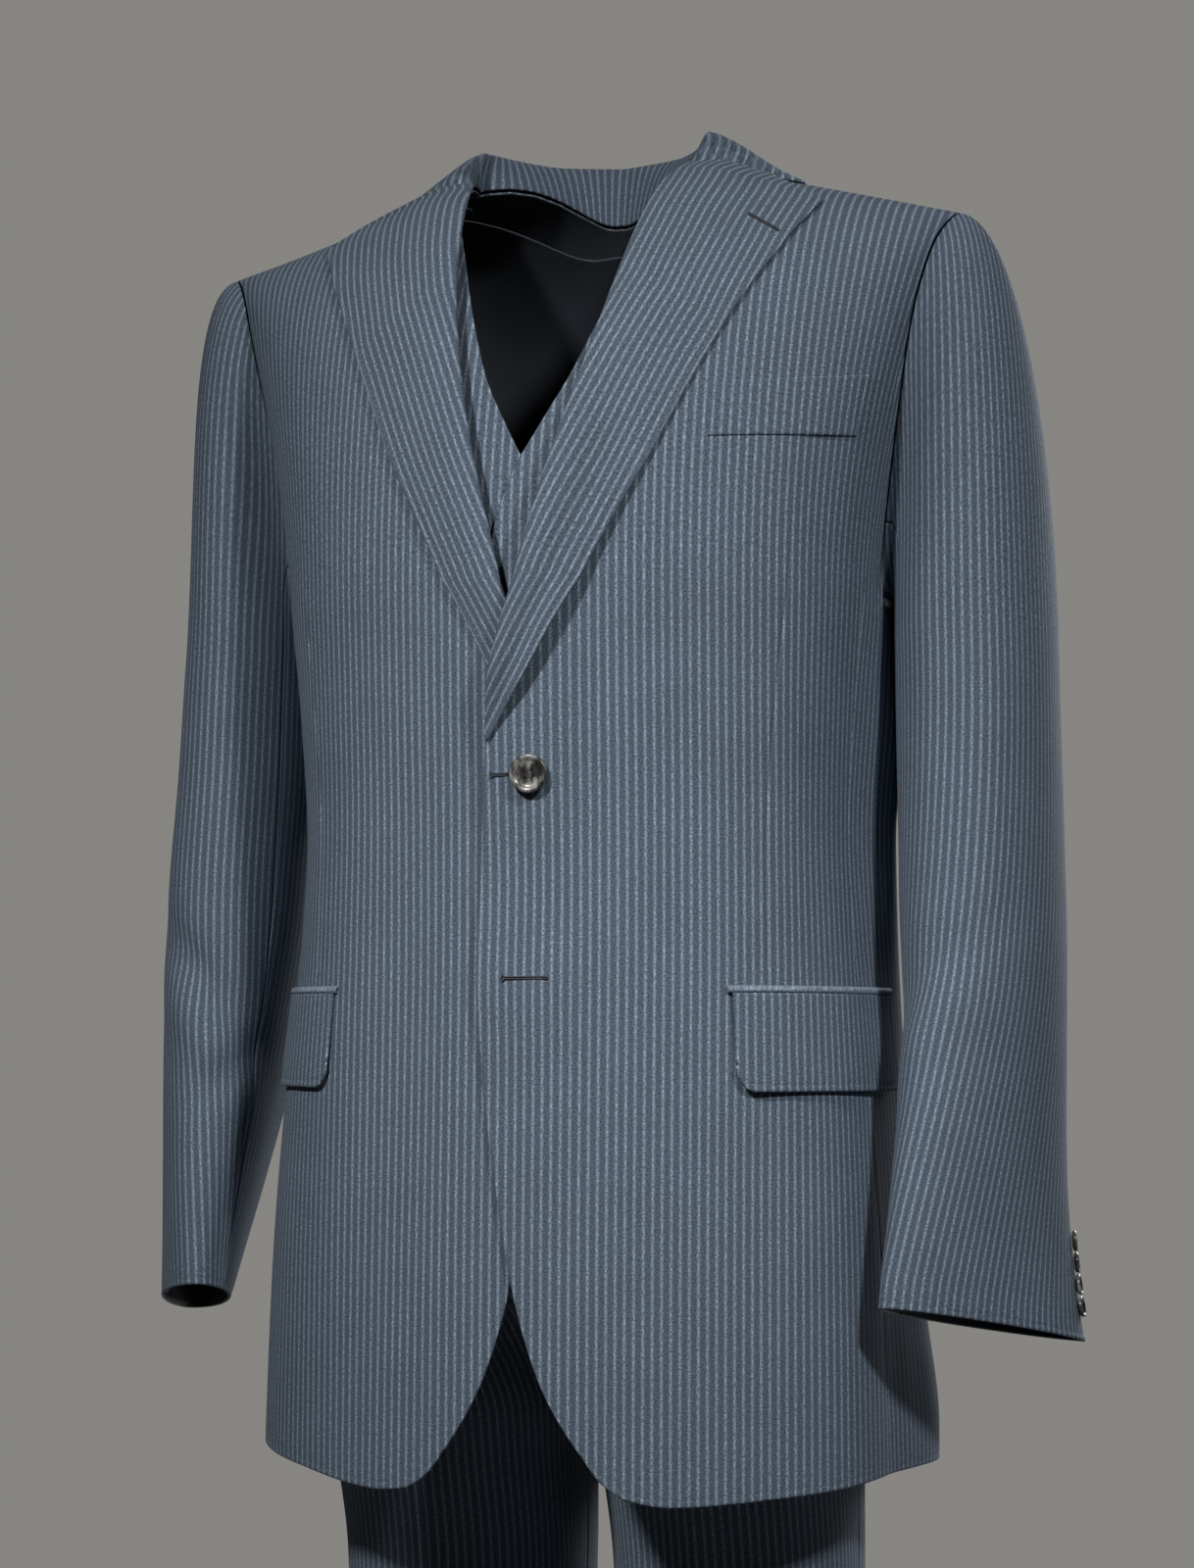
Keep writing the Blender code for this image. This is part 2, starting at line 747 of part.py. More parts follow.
def trouser_point(turn, height):
    """turn is 0 at the centre front, 1 at the side, 2 at the centre back, on the wearer's left."""
    half, ahead, behind = (smooth(TROUSER_ROWS, height, column) for column in (1, 2, 3))
    angle = turn * math.pi / 2
    s, c = math.sin(angle), math.cos(angle)
    depth = ahead if c >= 0 else behind
    seat = np.array([half * abs(s) ** 0.9, -depth * math.copysign(abs(c) ** 0.9, c), height])
    inner, outer, middle, thick = (smooth(LEG_ROWS, height, column) for column in (1, 2, 3, 4))
    angle = (turn - 0.5) * math.pi
    wide = (outer - inner) / 2.0
    across = math.sin(angle)
    ahead = math.cos(angle)
    leg = np.array([(inner + outer) / 2.0 + wide * math.copysign(abs(across) ** 0.92, across),
                    middle - thick * math.copysign(abs(ahead) ** 0.92, ahead), height])
    share = ease(-height, -FORK_FROM, -FORK_TO)
    return seat + (leg - seat) * share


def trouser_panel(side, name, first, last, top):
    def place(u, v, layer):
        height = mix(LEG_ROWS[-1][0], top, v)
        turn = mix(first, last, u)
        point = trouser_point(turn, height)
        near = min(max(turn, 0.03), 1.97)
        out = out_of(trouser_point, near, height, 0.02, 0.004)
        if point[0] < 0.003:
            out = out * (0.0, 1.0, 1.0)
            out = out / np.linalg.norm(out)
        return (point - out * LIGHT_WOOL * layer) * (side, 1, 1)

    return wall(name, 7, 17, place, suit)


def waistband():
    def place(u, v, layer):
        turn = mix(0.004, 3.996, u)
        side = 1.0 if turn < 2.0 else -1.0
        turn = turn if turn < 2.0 else 4.0 - turn
        height = mix(WAIST_SEAM + EDGE_GAP, WAIST_TOP, v)
        point = trouser_point(turn, height)
        out = out_of(trouser_point, min(max(turn, 0.03), 1.97), height, 0.02, 0.004)
        return (point + out * (BAND_OUT - BAND_THICK * layer)) * (side, 1, 1)

    return wall("waistband", 28, 1, place, suit)


# Scene

for old in list(bpy.data.objects):
    bpy.data.objects.remove(old, do_unlink=True)

parts = bpy.data.collections.new("three_piece_suit")
bpy.context.scene.collection.children.link(parts)

suit = material("suit_wool", (0.135, 0.155, 0.185), 0.85)
vest_cloth = material("vest_back_satin", (0.060, 0.070, 0.090), 0.45)
horn = material("horn_button", (0.045, 0.040, 0.040), 0.35)

for side in (1, -1):
    word = "left" if side > 0 else "right"
    jacket_front(side)
    jacket_side(side)
    jacket_back(side)
    jacket_lapel(side)
    sleeve(side, "sleeve_top_" + word, BACK_SLEEVE_SEAM - 360.0, FRONT_SLEEVE_SEAM, 13)
    sleeve(side, "sleeve_under_" + word, FRONT_SLEEVE_SEAM, BACK_SLEEVE_SEAM, 8)
    flap(side)
    jet(side)
    cuff_buttons(side)
    vest_front(side)
    trouser_panel(side, "trouser_front_" + word, 0.002, 0.998, WAIST_SEAM)
    trouser_panel(side, "trouser_back_" + word, 1.002, 1.998, WAIST_SEAM)
jacket_collar()
breast_welt()
front_buttons()
vest_back()
vest_buttons()
waistband()
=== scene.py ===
# Looks of the three-piece suit: striped wool cloth, lining, stitching, buttonholes, buttons and light.
# Metres, in the frame of the model: the wearer faces -Y, the wearer's left is +X, +Z is up.
# The cloth lies on the same form as the solids, on finer grids, with folds, seams and edges added.
import math

import bmesh
import bpy
import numpy as np
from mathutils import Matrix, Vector


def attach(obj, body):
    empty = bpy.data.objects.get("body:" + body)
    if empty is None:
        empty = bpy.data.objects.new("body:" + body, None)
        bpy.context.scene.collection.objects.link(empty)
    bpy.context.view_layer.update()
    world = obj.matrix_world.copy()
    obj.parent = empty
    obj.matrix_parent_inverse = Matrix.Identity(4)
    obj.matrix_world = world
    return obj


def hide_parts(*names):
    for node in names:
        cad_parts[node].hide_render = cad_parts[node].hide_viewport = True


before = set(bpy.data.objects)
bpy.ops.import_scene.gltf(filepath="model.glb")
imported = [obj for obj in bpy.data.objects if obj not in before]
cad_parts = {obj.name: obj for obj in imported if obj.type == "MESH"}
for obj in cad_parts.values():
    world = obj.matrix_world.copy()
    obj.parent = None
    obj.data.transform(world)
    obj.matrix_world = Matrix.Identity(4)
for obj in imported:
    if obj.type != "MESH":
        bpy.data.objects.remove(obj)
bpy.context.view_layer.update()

# Cloth
WOOL = 0.0018
LIGHT_WOOL = 0.0014
ROUNDING = 0.0011
STRIPE_PITCH = 0.0050
STITCH_STEP = 0.0040
STITCH_INSET = 0.0034
STITCH_DEEP = 0.00030
STITCH_WIDE = 0.0008
STITCH_LOOK = 0.0008
STITCH_SIZE = (0.0017, 0.00055, 0.00040)
THREAD = 0.00035
LIP_THREAD = 0.00042
THREAD_SIDES = 6
SEAM_ALLOWANCE = 0.010
THINNEST = 0.25
WORDS = {1: "left", -1: "right"}

# Body form of the jacket
JACKET_ROWS = (
    # level, half width, front depth, back depth
    (-0.250, 0.1740, 0.138, 0.125),
    (-0.310, 0.1680, 0.137, 0.115),
    (-0.385, 0.1640, 0.135, 0.108),
    (-0.440, 0.1670, 0.135, 0.112),
    (-0.520, 0.1750, 0.137, 0.128),
    (-0.640, 0.1840, 0.140, 0.142),
    (-0.800, 0.1900, 0.142, 0.150),
)
BACK_ROWS = (
    # level, half width behind the side seam
    (-0.250, 0.1760),
    (-0.260, 0.1850),
    (-0.275, 0.1868),
    (-0.310, 0.1880),
    (-0.385, 0.1815),
    (-0.440, 0.1822),
    (-0.520, 0.1850),
    (-0.600, 0.1880),
    (-0.660, 0.1970),
    (-0.720, 0.2040),
    (-0.800, 0.2040),
)
BACK_FROM = 80.0
BACK_TO = 106.0
CHEST = -0.250
SHOULDER_X = 0.222
SHOULDER_DROP = 0.036
NECK_X = 0.085
NAPE_RISE = 0.010
RIDGE_LIFT = 0.003
RIDGE_Y = 0.020
BOX = 0.90
RIDGE_BLEND = -0.030
SHOULDER_SEAM = 0.0003
EDGE_GAP = 0.0004

# Armhole and seams of the body
ARM_ANGLE = 18.0
ARM_HALF = 0.125
ARM_FRONT = (
    # level, angle in front of the side
    (0.0000, 0.0),
    (-0.0060, 5.0),
    (-0.0180, 8.8),
    (-0.0392, 11.8),
    (-0.0769, 14.4),
    (-0.1134, 13.4),
    (-0.1448, 10.4),
    (-0.1708, 6.8),
    (-0.2000, 3.2),
    (-0.2280, 1.2),
    (-0.2430, 0.5),
    (-0.2500, 0.0),
)
FRONT_SEAM = 80.0
FRONT_SEAM_TOP = -0.1477
SIDE_SEAM = 74.6
SIDE_TOP = -0.190
SEAM_TURN = 0.05

FRONT_EDGE = (
    # level, x
    (0.000, 0.071),
    (-0.040, 0.066),
    (-0.073, 0.060),
    (-0.105, 0.055),
    (-0.140, 0.048),
    (-0.170, 0.040),
    (-0.199, 0.030),
    (-0.221, 0.021),
    (-0.245, 0.011),
    (-0.280, 0.000),
    (-0.315, -0.009),
    (-0.340, -0.014),
    (-0.400, -0.018),
    (-0.460, -0.020),
    (-0.520, -0.017),
    (-0.580, -0.009),
    (-0.640, 0.002),
    (-0.680, 0.014),
    (-0.705, 0.026),
    (-0.722, 0.037),
)
LEFT_HEM = (
    # share of the width, level
    (0.00, -0.7220),
    (0.07, -0.7400),
    (0.15, -0.7490),
    (0.28, -0.7525),
    (0.55, -0.7502),
    (1.00, -0.7420),
)
RIGHT_HEM = (
    # share of the width, level
    (0.00, -0.7220),
    (0.07, -0.7392),
    (0.15, -0.7478),
    (0.28, -0.7505),
    (0.55, -0.7470),
    (1.00, -0.7380),
)
FRONT_HEMS = {1: LEFT_HEM, -1: RIGHT_HEM}
BODY_HEM = -0.740
BACK_NECK = -0.068
BACK_NECK_SHARE = 0.19
OVERLAP_LIFT = 0.0072
LOW_LIFT = 0.0036
BUTTON_LIFT = 0.0028
LIFT_FROM = 0.050
LIFT_TO = 0.016

# Lapels and collar
LAPEL_EDGE = (
    # level, x
    (0.000, 0.1500),
    (-0.053, 0.1490),
    (-0.100, 0.1350),
    (-0.140, 0.1150),
    (-0.178, 0.0930),
    (-0.206, 0.0750),
    (-0.230, 0.0560),
    (-0.250, 0.0400),
    (-0.271, 0.0280),
    (-0.299, 0.0130),
    (-0.318, 0.0010),
    (-0.338, -0.0118),
)
LAPEL_TOP = (
    # share of the width, level
    (0.00, -0.0400),
    (0.58, -0.0316),
    (1.00, -0.0570),
)
BREAK = -0.338
COLLAR_ROWS = (
    # station, crease x, crease y, crease z, edge x, edge y
    (0.00, 0.0000, 0.0770, 0.0270, 0.000, 0.0860),
    (0.22, 0.0360, 0.0690, 0.0282, 0.060, 0.0800),
    (0.42, 0.0600, 0.0470, 0.0305, 0.098, 0.0570),
    (0.62, 0.0682, 0.0190, 0.0292, 0.118, 0.0300),
    (0.82, 0.0710, -0.0040, 0.0185, 0.129, 0.0080),
    (1.00, 0.0685, -0.0180, 0.0020, 0.1325, -0.0080),
)
SHOULDER_STATION = 0.62
GORGE_LEVEL = -0.036
GORGE_BOW = 0.0024
COLLAR_ROLL = 0.0040
COLLAR_LEAN = 82.0
COLLAR_FALL = 0.056

# Sleeves
LEFT_SLEEVE = (
    # height, x, y, outward half, front half
    (-0.270, 0.2222, 0.038, 0.0458, 0.0760),
    (-0.340, 0.2242, 0.036, 0.0455, 0.0760),
    (-0.420, 0.2270, 0.030, 0.0445, 0.0745),
    (-0.500, 0.2302, 0.018, 0.0395, 0.0725),
    (-0.580, 0.2312, 0.001, 0.0325, 0.0725),
    (-0.666, 0.2352, -0.017, 0.0225, 0.0735),
)
RIGHT_SLEEVE = (
    # height, x, y, outward half, front half
    (-0.270, 0.2172, 0.038, 0.0408, 0.0760),
    (-0.340, 0.2200, 0.036, 0.0415, 0.0760),
    (-0.420, 0.2258, 0.030, 0.0425, 0.0740),
    (-0.500, 0.2305, 0.019, 0.0380, 0.0700),
    (-0.580, 0.2350, 0.004, 0.0300, 0.0670),
    (-0.666, 0.2405, -0.012, 0.0205, 0.0640),
)
SLEEVES = {1: LEFT_SLEEVE, -1: RIGHT_SLEEVE}
TUBE_FROM = -0.270
TUBE_TO = -0.666
CUFF_TURNS = {1: 38.0, -1: 24.0}
CUFF_SLANT = 0.0125
CAP_SHARE = 0.30
SLEEVE_GAP = 0.0004
FRONT_SLEEVE_SEAM = 140.0
BACK_SLEEVE_SEAM = 285.0
TURN_FROM = -140.0
TURN_TO = 340.0
GRAIN_IN = 0.028

# Pockets
FLAP_FROM = 40.0
FLAP_TO = 92.0
FLAP_TOP = -0.4760
FLAP_DEEP = 0.0540
FLAP_CORNER = 0.0110
FLAP_WIDE = 0.155
LAID_GAP = 0.0010
JET_HIGH = 0.0048
JET_WIDE = 0.16
JET_OVER = 0.0004
JET_THICK = 0.0010
JET_ALLOWANCE = 0.006
WELT_FROM = 32.0
WELT_TO = 68.0
WELT_LOW = (-0.1995, -0.1910)
WELT_HIGH = (-0.1780, -0.1630)

# Waistcoat
VEST_IN = 0.0086
VEST_LIFT = 0.0028
VEST_SEAM_TURN = 0.10
VEST_STRETCH = 0.94
VEST_EDGE = (
    # level, x
    (0.000, 0.078),
    (-0.050, 0.071),
    (-0.110, 0.052),
    (-0.150, 0.037),
    (-0.175, 0.025),
    (-0.195, 0.010),
    (-0.215, -0.006),
    (-0.240, -0.016),
    (-0.300, -0.018),
    (-0.480, -0.018),
    (-0.500, -0.010),
)
VEST_HEM = (
    # share of the width, level
    (0.00, -0.500),
    (0.20, -0.530),
    (0.35, -0.522),
    (1.00, -0.490),
)
VEST_SHOULDER = 52.0
VEST_ARM_LOW = -0.275
VEST_SIDE = 90.0
VEST_TOP = -0.0010
VEST_BACK_NECK = -0.080
NAPE_CLEAR = 0.008

# Trousers
TROUSER_ROWS = (
    # height, half width, front depth, back depth
    (-0.395, 0.1522, 0.1226, 0.0962),
    (-0.440, 0.1543, 0.1230, 0.0995),
    (-0.500, 0.1580, 0.1200, 0.1080),
    (-0.600, 0.1640, 0.1130, 0.1240),
    (-0.720, 0.1660, 0.1060, 0.1280),
)
LEG_ROWS = (
    # height, inner x, outer x, middle y, front half
    (-0.600, 0.0004, 0.1640, 0.006, 0.1180),
    (-0.700, 0.0004, 0.1600, 0.016, 0.1000),
    (-0.740, 0.0070, 0.1550, 0.024, 0.0940),
    (-0.800, 0.0110, 0.1520, 0.036, 0.0900),
    (-0.950, 0.0160, 0.1500, 0.042, 0.0870),
    (-1.100, 0.0210, 0.1480, 0.042, 0.0820),
    (-1.280, 0.0240, 0.1440, 0.046, 0.0780),
    (-1.450, 0.0260, 0.1420, 0.044, 0.0760),
)
WAIST_SEAM = -0.436
WAIST_TOP = -0.397
BAND_HIGH = 0.039
BAND_LONG = 0.9
BAND_OUT = 0.0008
BAND_GAP = 0.004
FORK_FROM = -0.600
FORK_TO = -0.712
FLOOR = -1.500

# Buttons
FRONT_BUTTON = 0.0107
CUFF_BUTTON = 0.0060
VEST_BUTTON = 0.0072
UPPER_BUTTON = (0.011, -0.357)
LOWER_BUTTON = (0.001, -0.468)
VEST_BUTTON_TOP = -0.290
VEST_BUTTON_STEP = 0.047
CUFF_BUTTON_LOW = 0.023
CUFF_BUTTON_STEP = 0.0125
CUFF_BUTTON_ANGLE = 14.0
LAPEL_HOLE = ((0.728, 0.833), (0.926, 0.845))
LAPEL_HOLE_LONG = 0.0195
FRONT_HOLES = (
    # x, level, length
    (0.0084, -0.468, 0.024),
    (0.0010, -0.357, 0.022),
)
HOLE_EYE = 0.0018
LIP_GAP = 0.00055
LIP_LIFT = 0.0002
FRONT_BUTTON_THICK = 0.0040
LOWER_BUTTON_THICK = 0.0034
CUFF_BUTTON_THICK = 0.0028
VEST_BUTTON_THICK = 0.0029
BUTTON_LAID = 0.0003
BUTTON_SHANK = 0.0008
SEWN_HOLE = 0.095
SEWN_HOLE_OUT = 0.17

# Where the stripes start on pieces that don't continue those of the front
STRIPE_STARTS = {
    "side": 0.0013,
    "lapel": 0.0018,
    "jet": 0.0017,
    "welt": 0.0004,
    "vest": 0.0012,
    "leg": 0.0025,
}


# Curves and forms

def smooth(rows, at, column):
    """Read a table along a smooth curve through its rows, first column against another."""
    table = np.array(rows, float)
    if table[0, 0] > table[-1, 0]:
        table = table[::-1]
    places, values = table[:, 0], table[:, column]
    width = np.diff(places)
    slope = np.diff(values) / width
    tangent = np.zeros(len(places))
    tangent[0], tangent[-1] = slope[0], slope[-1]
    product = slope[:-1] * slope[1:]
    total = np.where(product > 0.0, slope[:-1] + slope[1:], 1.0)
    tangent[1:-1] = np.where(product > 0.0, 2.0 * product / total, 0.0)
    at = np.clip(at, places[0], places[-1])
    i = np.clip(np.searchsorted(places, at, side="right") - 1, 0, len(width) - 1)
    t = (at - places[i]) / width[i]
    start, end = tangent[i] * width[i], tangent[i + 1] * width[i]
    return ((2 * t**3 - 3 * t**2 + 1) * values[i] + (t**3 - 2 * t**2 + t) * start
            + (3 * t**2 - 2 * t**3) * values[i + 1] + (t**3 - t**2) * end)


def ease(at, low, high):
    """0 below low, 1 above high, smooth between."""
    t = np.clip((np.asarray(at, float) - low) / (high - low), 0.0, 1.0)
    return t * t * (3.0 - 2.0 * t)


def mix(a, b, t):
    return a + (b - a) * t


def bump(at, centre, width):
    """A soft hill of height 1."""
    return np.exp(-((at - centre) / width) ** 2)


def unit(vectors):
    length = np.linalg.norm(vectors, axis=-1, keepdims=True)
    return vectors / np.maximum(length, 1e-12)


def joined(*parts):
    return np.stack(np.broadcast_arrays(*parts), axis=-1)


def matched(*values):
    return np.broadcast_arrays(*(np.asarray(value, float) for value in values))


def mirrored(points, side):
    """Points with x turned over where side is -1."""
    return points * joined(side, 1.0 + 0.0 * side, 1.0 + 0.0 * side)


def run_lengths(points):
    """Length along each row of a grid of points."""
    total = np.zeros(points.shape[:2])
    total[:, 1:] = np.cumsum(np.linalg.norm(np.diff(points, axis=1), axis=2), axis=1)
    return total


def sampled(table, row, column):
    """Read a grid of values between its rows and columns."""
    i = np.clip(row.astype(int), 0, table.shape[0] - 2)
    j = np.clip(column.astype(int), 0, table.shape[1] - 2)
    low = mix(table[i, j], table[i, j + 1], column - j)
    high = mix(table[i + 1, j], table[i + 1, j + 1], column - j)
    return mix(low, high, row - i)


def folds(rows, first, second):
    """Height of soft folds on a surface, from a table.

    A row gives the height, the place and width along first, the place and width along second, and how much
    first shifts for each unit of second, counted from a last value."""
    high = 0.0
    for height, place, width, other, other_width, slant, about in rows:
        shifted = first + slant * (second - about)
        high = high + height * bump(shifted, place, width) * bump(second, other, other_width)
    return high


def ridge_height(x):
    beyond = np.maximum(0.0, np.abs(x) - NECK_X) / (SHOULDER_X - NECK_X)
    within = np.maximum(0.0, NECK_X - np.abs(x)) / NECK_X
    return RIDGE_LIFT + NAPE_RISE * within - SHOULDER_DROP * beyond


def half_width(level):
    rise = np.sin(np.clip((level - CHEST) / -CHEST, 0.0, 1.0) * math.pi / 2)
    above = JACKET_ROWS[0][1] + (SHOULDER_X - JACKET_ROWS[0][1]) * rise ** 1.5
    return np.where(level <= CHEST, smooth(JACKET_ROWS, level, 1), above)


def body(angle, level):
    """A point of the jacket's outer form: angle 0 in front and 180 behind, level up to 0 at the shoulder."""
    angle, level = matched(angle, level)
    turn = np.radians(angle)
    s, c = np.sin(turn), np.cos(turn)
    across = np.copysign(np.abs(s) ** BOX, s)
    ahead = np.copysign(np.abs(c) ** BOX, c)
    behind = ease(np.abs(angle), BACK_FROM, BACK_TO) * (level <= CHEST)
    x = mix(half_width(level), smooth(BACK_ROWS, level, 1), behind) * across
    depth = np.where(c >= 0, smooth(JACKET_ROWS, level, 2), smooth(JACKET_ROWS, level, 3))
    lean = np.clip((level - CHEST) / -CHEST, 0.0, 1.0) * math.pi / 2
    rise = np.sin(lean)
    y = RIDGE_Y * (1.0 - np.abs(x) / SHOULDER_X) * rise ** 2 - depth * np.cos(lean) * ahead
    z = np.where(level <= CHEST, level, CHEST + (ridge_height(x) - CHEST) * rise)
    return joined(x, y, z)


def out_of(surface, a, b, step_a, step_b):
    """Unit normal of a surface by central differences."""
    along = surface(a + step_a, b) - surface(a - step_a, b)
    up = surface(a, b + step_b) - surface(a, b - step_b)
    return unit(np.cross(along, up))


def body_out(angle, level):
    """Outward normal of the form, turning into that of the shoulder ridge."""
    angle, level = matched(angle, level)
    near = np.minimum(level, -0.004)
    high = ease(near, -0.110, -0.060)
    low_limit = mix(90.0, 78.0, high)
    high_limit = mix(90.0, 102.0, high)
    size = np.abs(angle)
    size = np.where(size <= 90.0, np.minimum(size, low_limit), np.maximum(size, high_limit))
    normal = out_of(body, np.copysign(size, angle), near, 0.5, 0.002)
    slope = SHOULDER_DROP / (SHOULDER_X - NECK_X)
    size = math.hypot(slope, 1.0)
    ridge = joined(np.copysign(slope / size, angle), 0.0 * angle, 0.0 * angle + 1.0 / size)
    return unit(mix(normal, ridge, ease(level, RIDGE_BLEND, 0.0)[..., None]))


def on_body(angle, level, out):
    angle, level, out = matched(angle, level, out)
    point = body(angle, level) + body_out(angle, level) * out[..., None]
    apart = SHOULDER_SEAM * ease(level, RIDGE_BLEND, 0.0)
    point[..., 1] += np.where(np.abs(angle) < 90.0, -apart, apart)
    return point


def angle_of(x, level):
    """Angle at which the form has this x, in front."""
    share = np.minimum(1.0, np.abs(x) / half_width(level))
    return np.copysign(np.degrees(np.arcsin(share ** (1.0 / BOX))), x)


def armhole_angle(level):
    share = (level + ARM_HALF) / ARM_HALF
    return ARM_ANGLE * np.sqrt(np.maximum(0.0, 1.0 - share * share))


def front_side(level):
    """Angle of the front's outer side: the seam, and the armhole above it."""
    return np.where(level < FRONT_SEAM_TOP, FRONT_SEAM, 90.0 - smooth(ARM_FRONT, level, 1))


def back_side(level):
    return 180.0 - np.where(level < SIDE_TOP, SIDE_SEAM, 90.0 - armhole_angle(level))


def overlap(x, level):
    """How far the left front is moved out where it lies on the right one."""
    high = mix(LOW_LIFT, OVERLAP_LIFT, ease(level, -0.420, -0.345))
    high = high + BUTTON_LIFT * bump(level, LOWER_BUTTON[1], 0.030)
    return high * (1.0 - ease(x, LIFT_TO, LIFT_FROM))


def shoulder_height(x, y):
    """Height of the form over points of the shoulder."""
    x, y = matched(x, y)
    ahead = y < RIDGE_Y * (1.0 - np.abs(x) / SHOULDER_X)
    low, high = np.full(x.shape, CHEST), np.zeros(x.shape)
    for _ in range(24):
        level = (low + high) / 2.0
        angle = angle_of(x, level)
        point = body(np.where(ahead, angle, 180.0 - angle), level)
        past = (point[..., 1] > y) == ahead
        high = np.where(past, level, high)
        low = np.where(past, low, level)
    return point[..., 2]


ARC_LOW = -0.80
ARC_ROWS = 160
ARC_COLUMNS = 360
ARC_LENGTHS = run_lengths(body(np.linspace(0.0, 180.0, ARC_COLUMNS + 1)[None, :],
                               np.linspace(ARC_LOW, 0.0, ARC_ROWS + 1)[:, None]))


def arc(angle, level):
    """Length round the form from the centre front."""
    angle, level = matched(angle, level)
    row = np.clip((level - ARC_LOW) * ARC_ROWS / -ARC_LOW, 0.0, ARC_ROWS - 0.001)
    column = np.clip(np.abs(angle) * ARC_COLUMNS / 180.0, 0.0, ARC_COLUMNS - 0.001)
    return np.copysign(sampled(ARC_LENGTHS, row, column), angle)


# Materials

def node(tree, kind, links=(), **values):
    made = tree.nodes.new(kind)
    for key, value in values.items():
        if key.startswith("in_"):
            made.inputs[int(key[3:])].default_value = value
        else:
            setattr(made, key, value)
    for place, socket in links:
        tree.links.new(socket, made.inputs[place])
    return made


def maths(tree, operation, first, second=0.0, third=0.0):
    """A Math node; each operand is a socket or a number."""
    made = tree.nodes.new("ShaderNodeMath")
    made.operation = operation
    for place, value in enumerate((first, second, third)):
        if isinstance(value, (int, float)):
            made.inputs[place].default_value = value
        else:
            tree.links.new(value, made.inputs[place])
    return made.outputs[0]


def ranged(tree, value, low, high, to_low=0.0, to_high=1.0):
    made = tree.nodes.new("ShaderNodeMapRange")
    made.interpolation_type = "SMOOTHSTEP"
    made.inputs[1].default_value = low
    made.inputs[2].default_value = high
    made.inputs[3].default_value = to_low
    made.inputs[4].default_value = to_high
    tree.links.new(value, made.inputs[0])
    return made.outputs[0]


def mixed(tree, factor, first, second):
    made = tree.nodes.new("ShaderNodeMix")
    made.data_type = "RGBA"
    for place, value in ((0, factor), (6, first), (7, second)):
        if isinstance(value, bpy.types.NodeSocket):
            tree.links.new(value, made.inputs[place])
        else:
            made.inputs[place].default_value = value
    return made.outputs[2]


def noise(tree, place, scale, detail=2.0, rough=0.5):
    return node(tree, "ShaderNodeTexNoise", [(0, place)], in_2=scale, in_3=detail, in_4=rough).outputs[0]


def wave(tree, value, length):
    return maths(tree, "SINE", maths(tree, "MULTIPLY", value, math.tau / length))


def stretched(tree, place, scale, turn=(0.0, 0.0, 0.0)):
    made = node(tree, "ShaderNodeMapping", [(0, place)])
    made.inputs["Rotation"].default_value = turn
    made.inputs["Scale"].default_value = scale
    return made.outputs[0]


def start_material(name, rough):
    made = bpy.data.materials.new(name)
    made.use_nodes = True
    shader = made.node_tree.nodes["Principled BSDF"]
    shader.inputs["Roughness"].default_value = rough
    return made, made.node_tree, shader


def cloth_place(tree):
    """Metres on the cloth: both together, across and along."""
    place = node(tree, "ShaderNodeUVMap", uv_map="cloth").outputs[0]
    parts = node(tree, "ShaderNodeSeparateXYZ", [(0, place)])
    return place, parts.outputs[0], parts.outputs[1]


def tint(tree, shader, colour, tone):
    """The base colour: a colour scaled by a tone."""
    made = node(tree, "ShaderNodeVectorMath", operation="SCALE")
    if isinstance(colour, bpy.types.NodeSocket):
        tree.links.new(colour, made.inputs[0])
    else:
        made.inputs[0].default_value = colour
    tree.links.new(tone, made.inputs["Scale"])
    tree.links.new(made.outputs[0], shader.inputs["Base Color"])


def relief(tree, shader, height, strength, distance):
    made = tree.nodes.new("ShaderNodeBump")
    made.inputs["Strength"].default_value = strength
    made.inputs["Distance"].default_value = distance
    tree.links.new(height, made.inputs["Height"])
    tree.links.new(made.outputs[0], shader.inputs["Normal"])


STRIPE_HALF = 0.165
STRIPE_SOFT = 0.125
STRIPE_STRENGTH = 0.64
STRIPE_WANDER = 0.00022
TWILL_STEP = 0.00062
TWILL_SLANT = 0.62
YARN_STEP = 0.00048
SLUB_SCALE = (900.0, 420.0, 1.0)
LINING_STEP = 0.00050


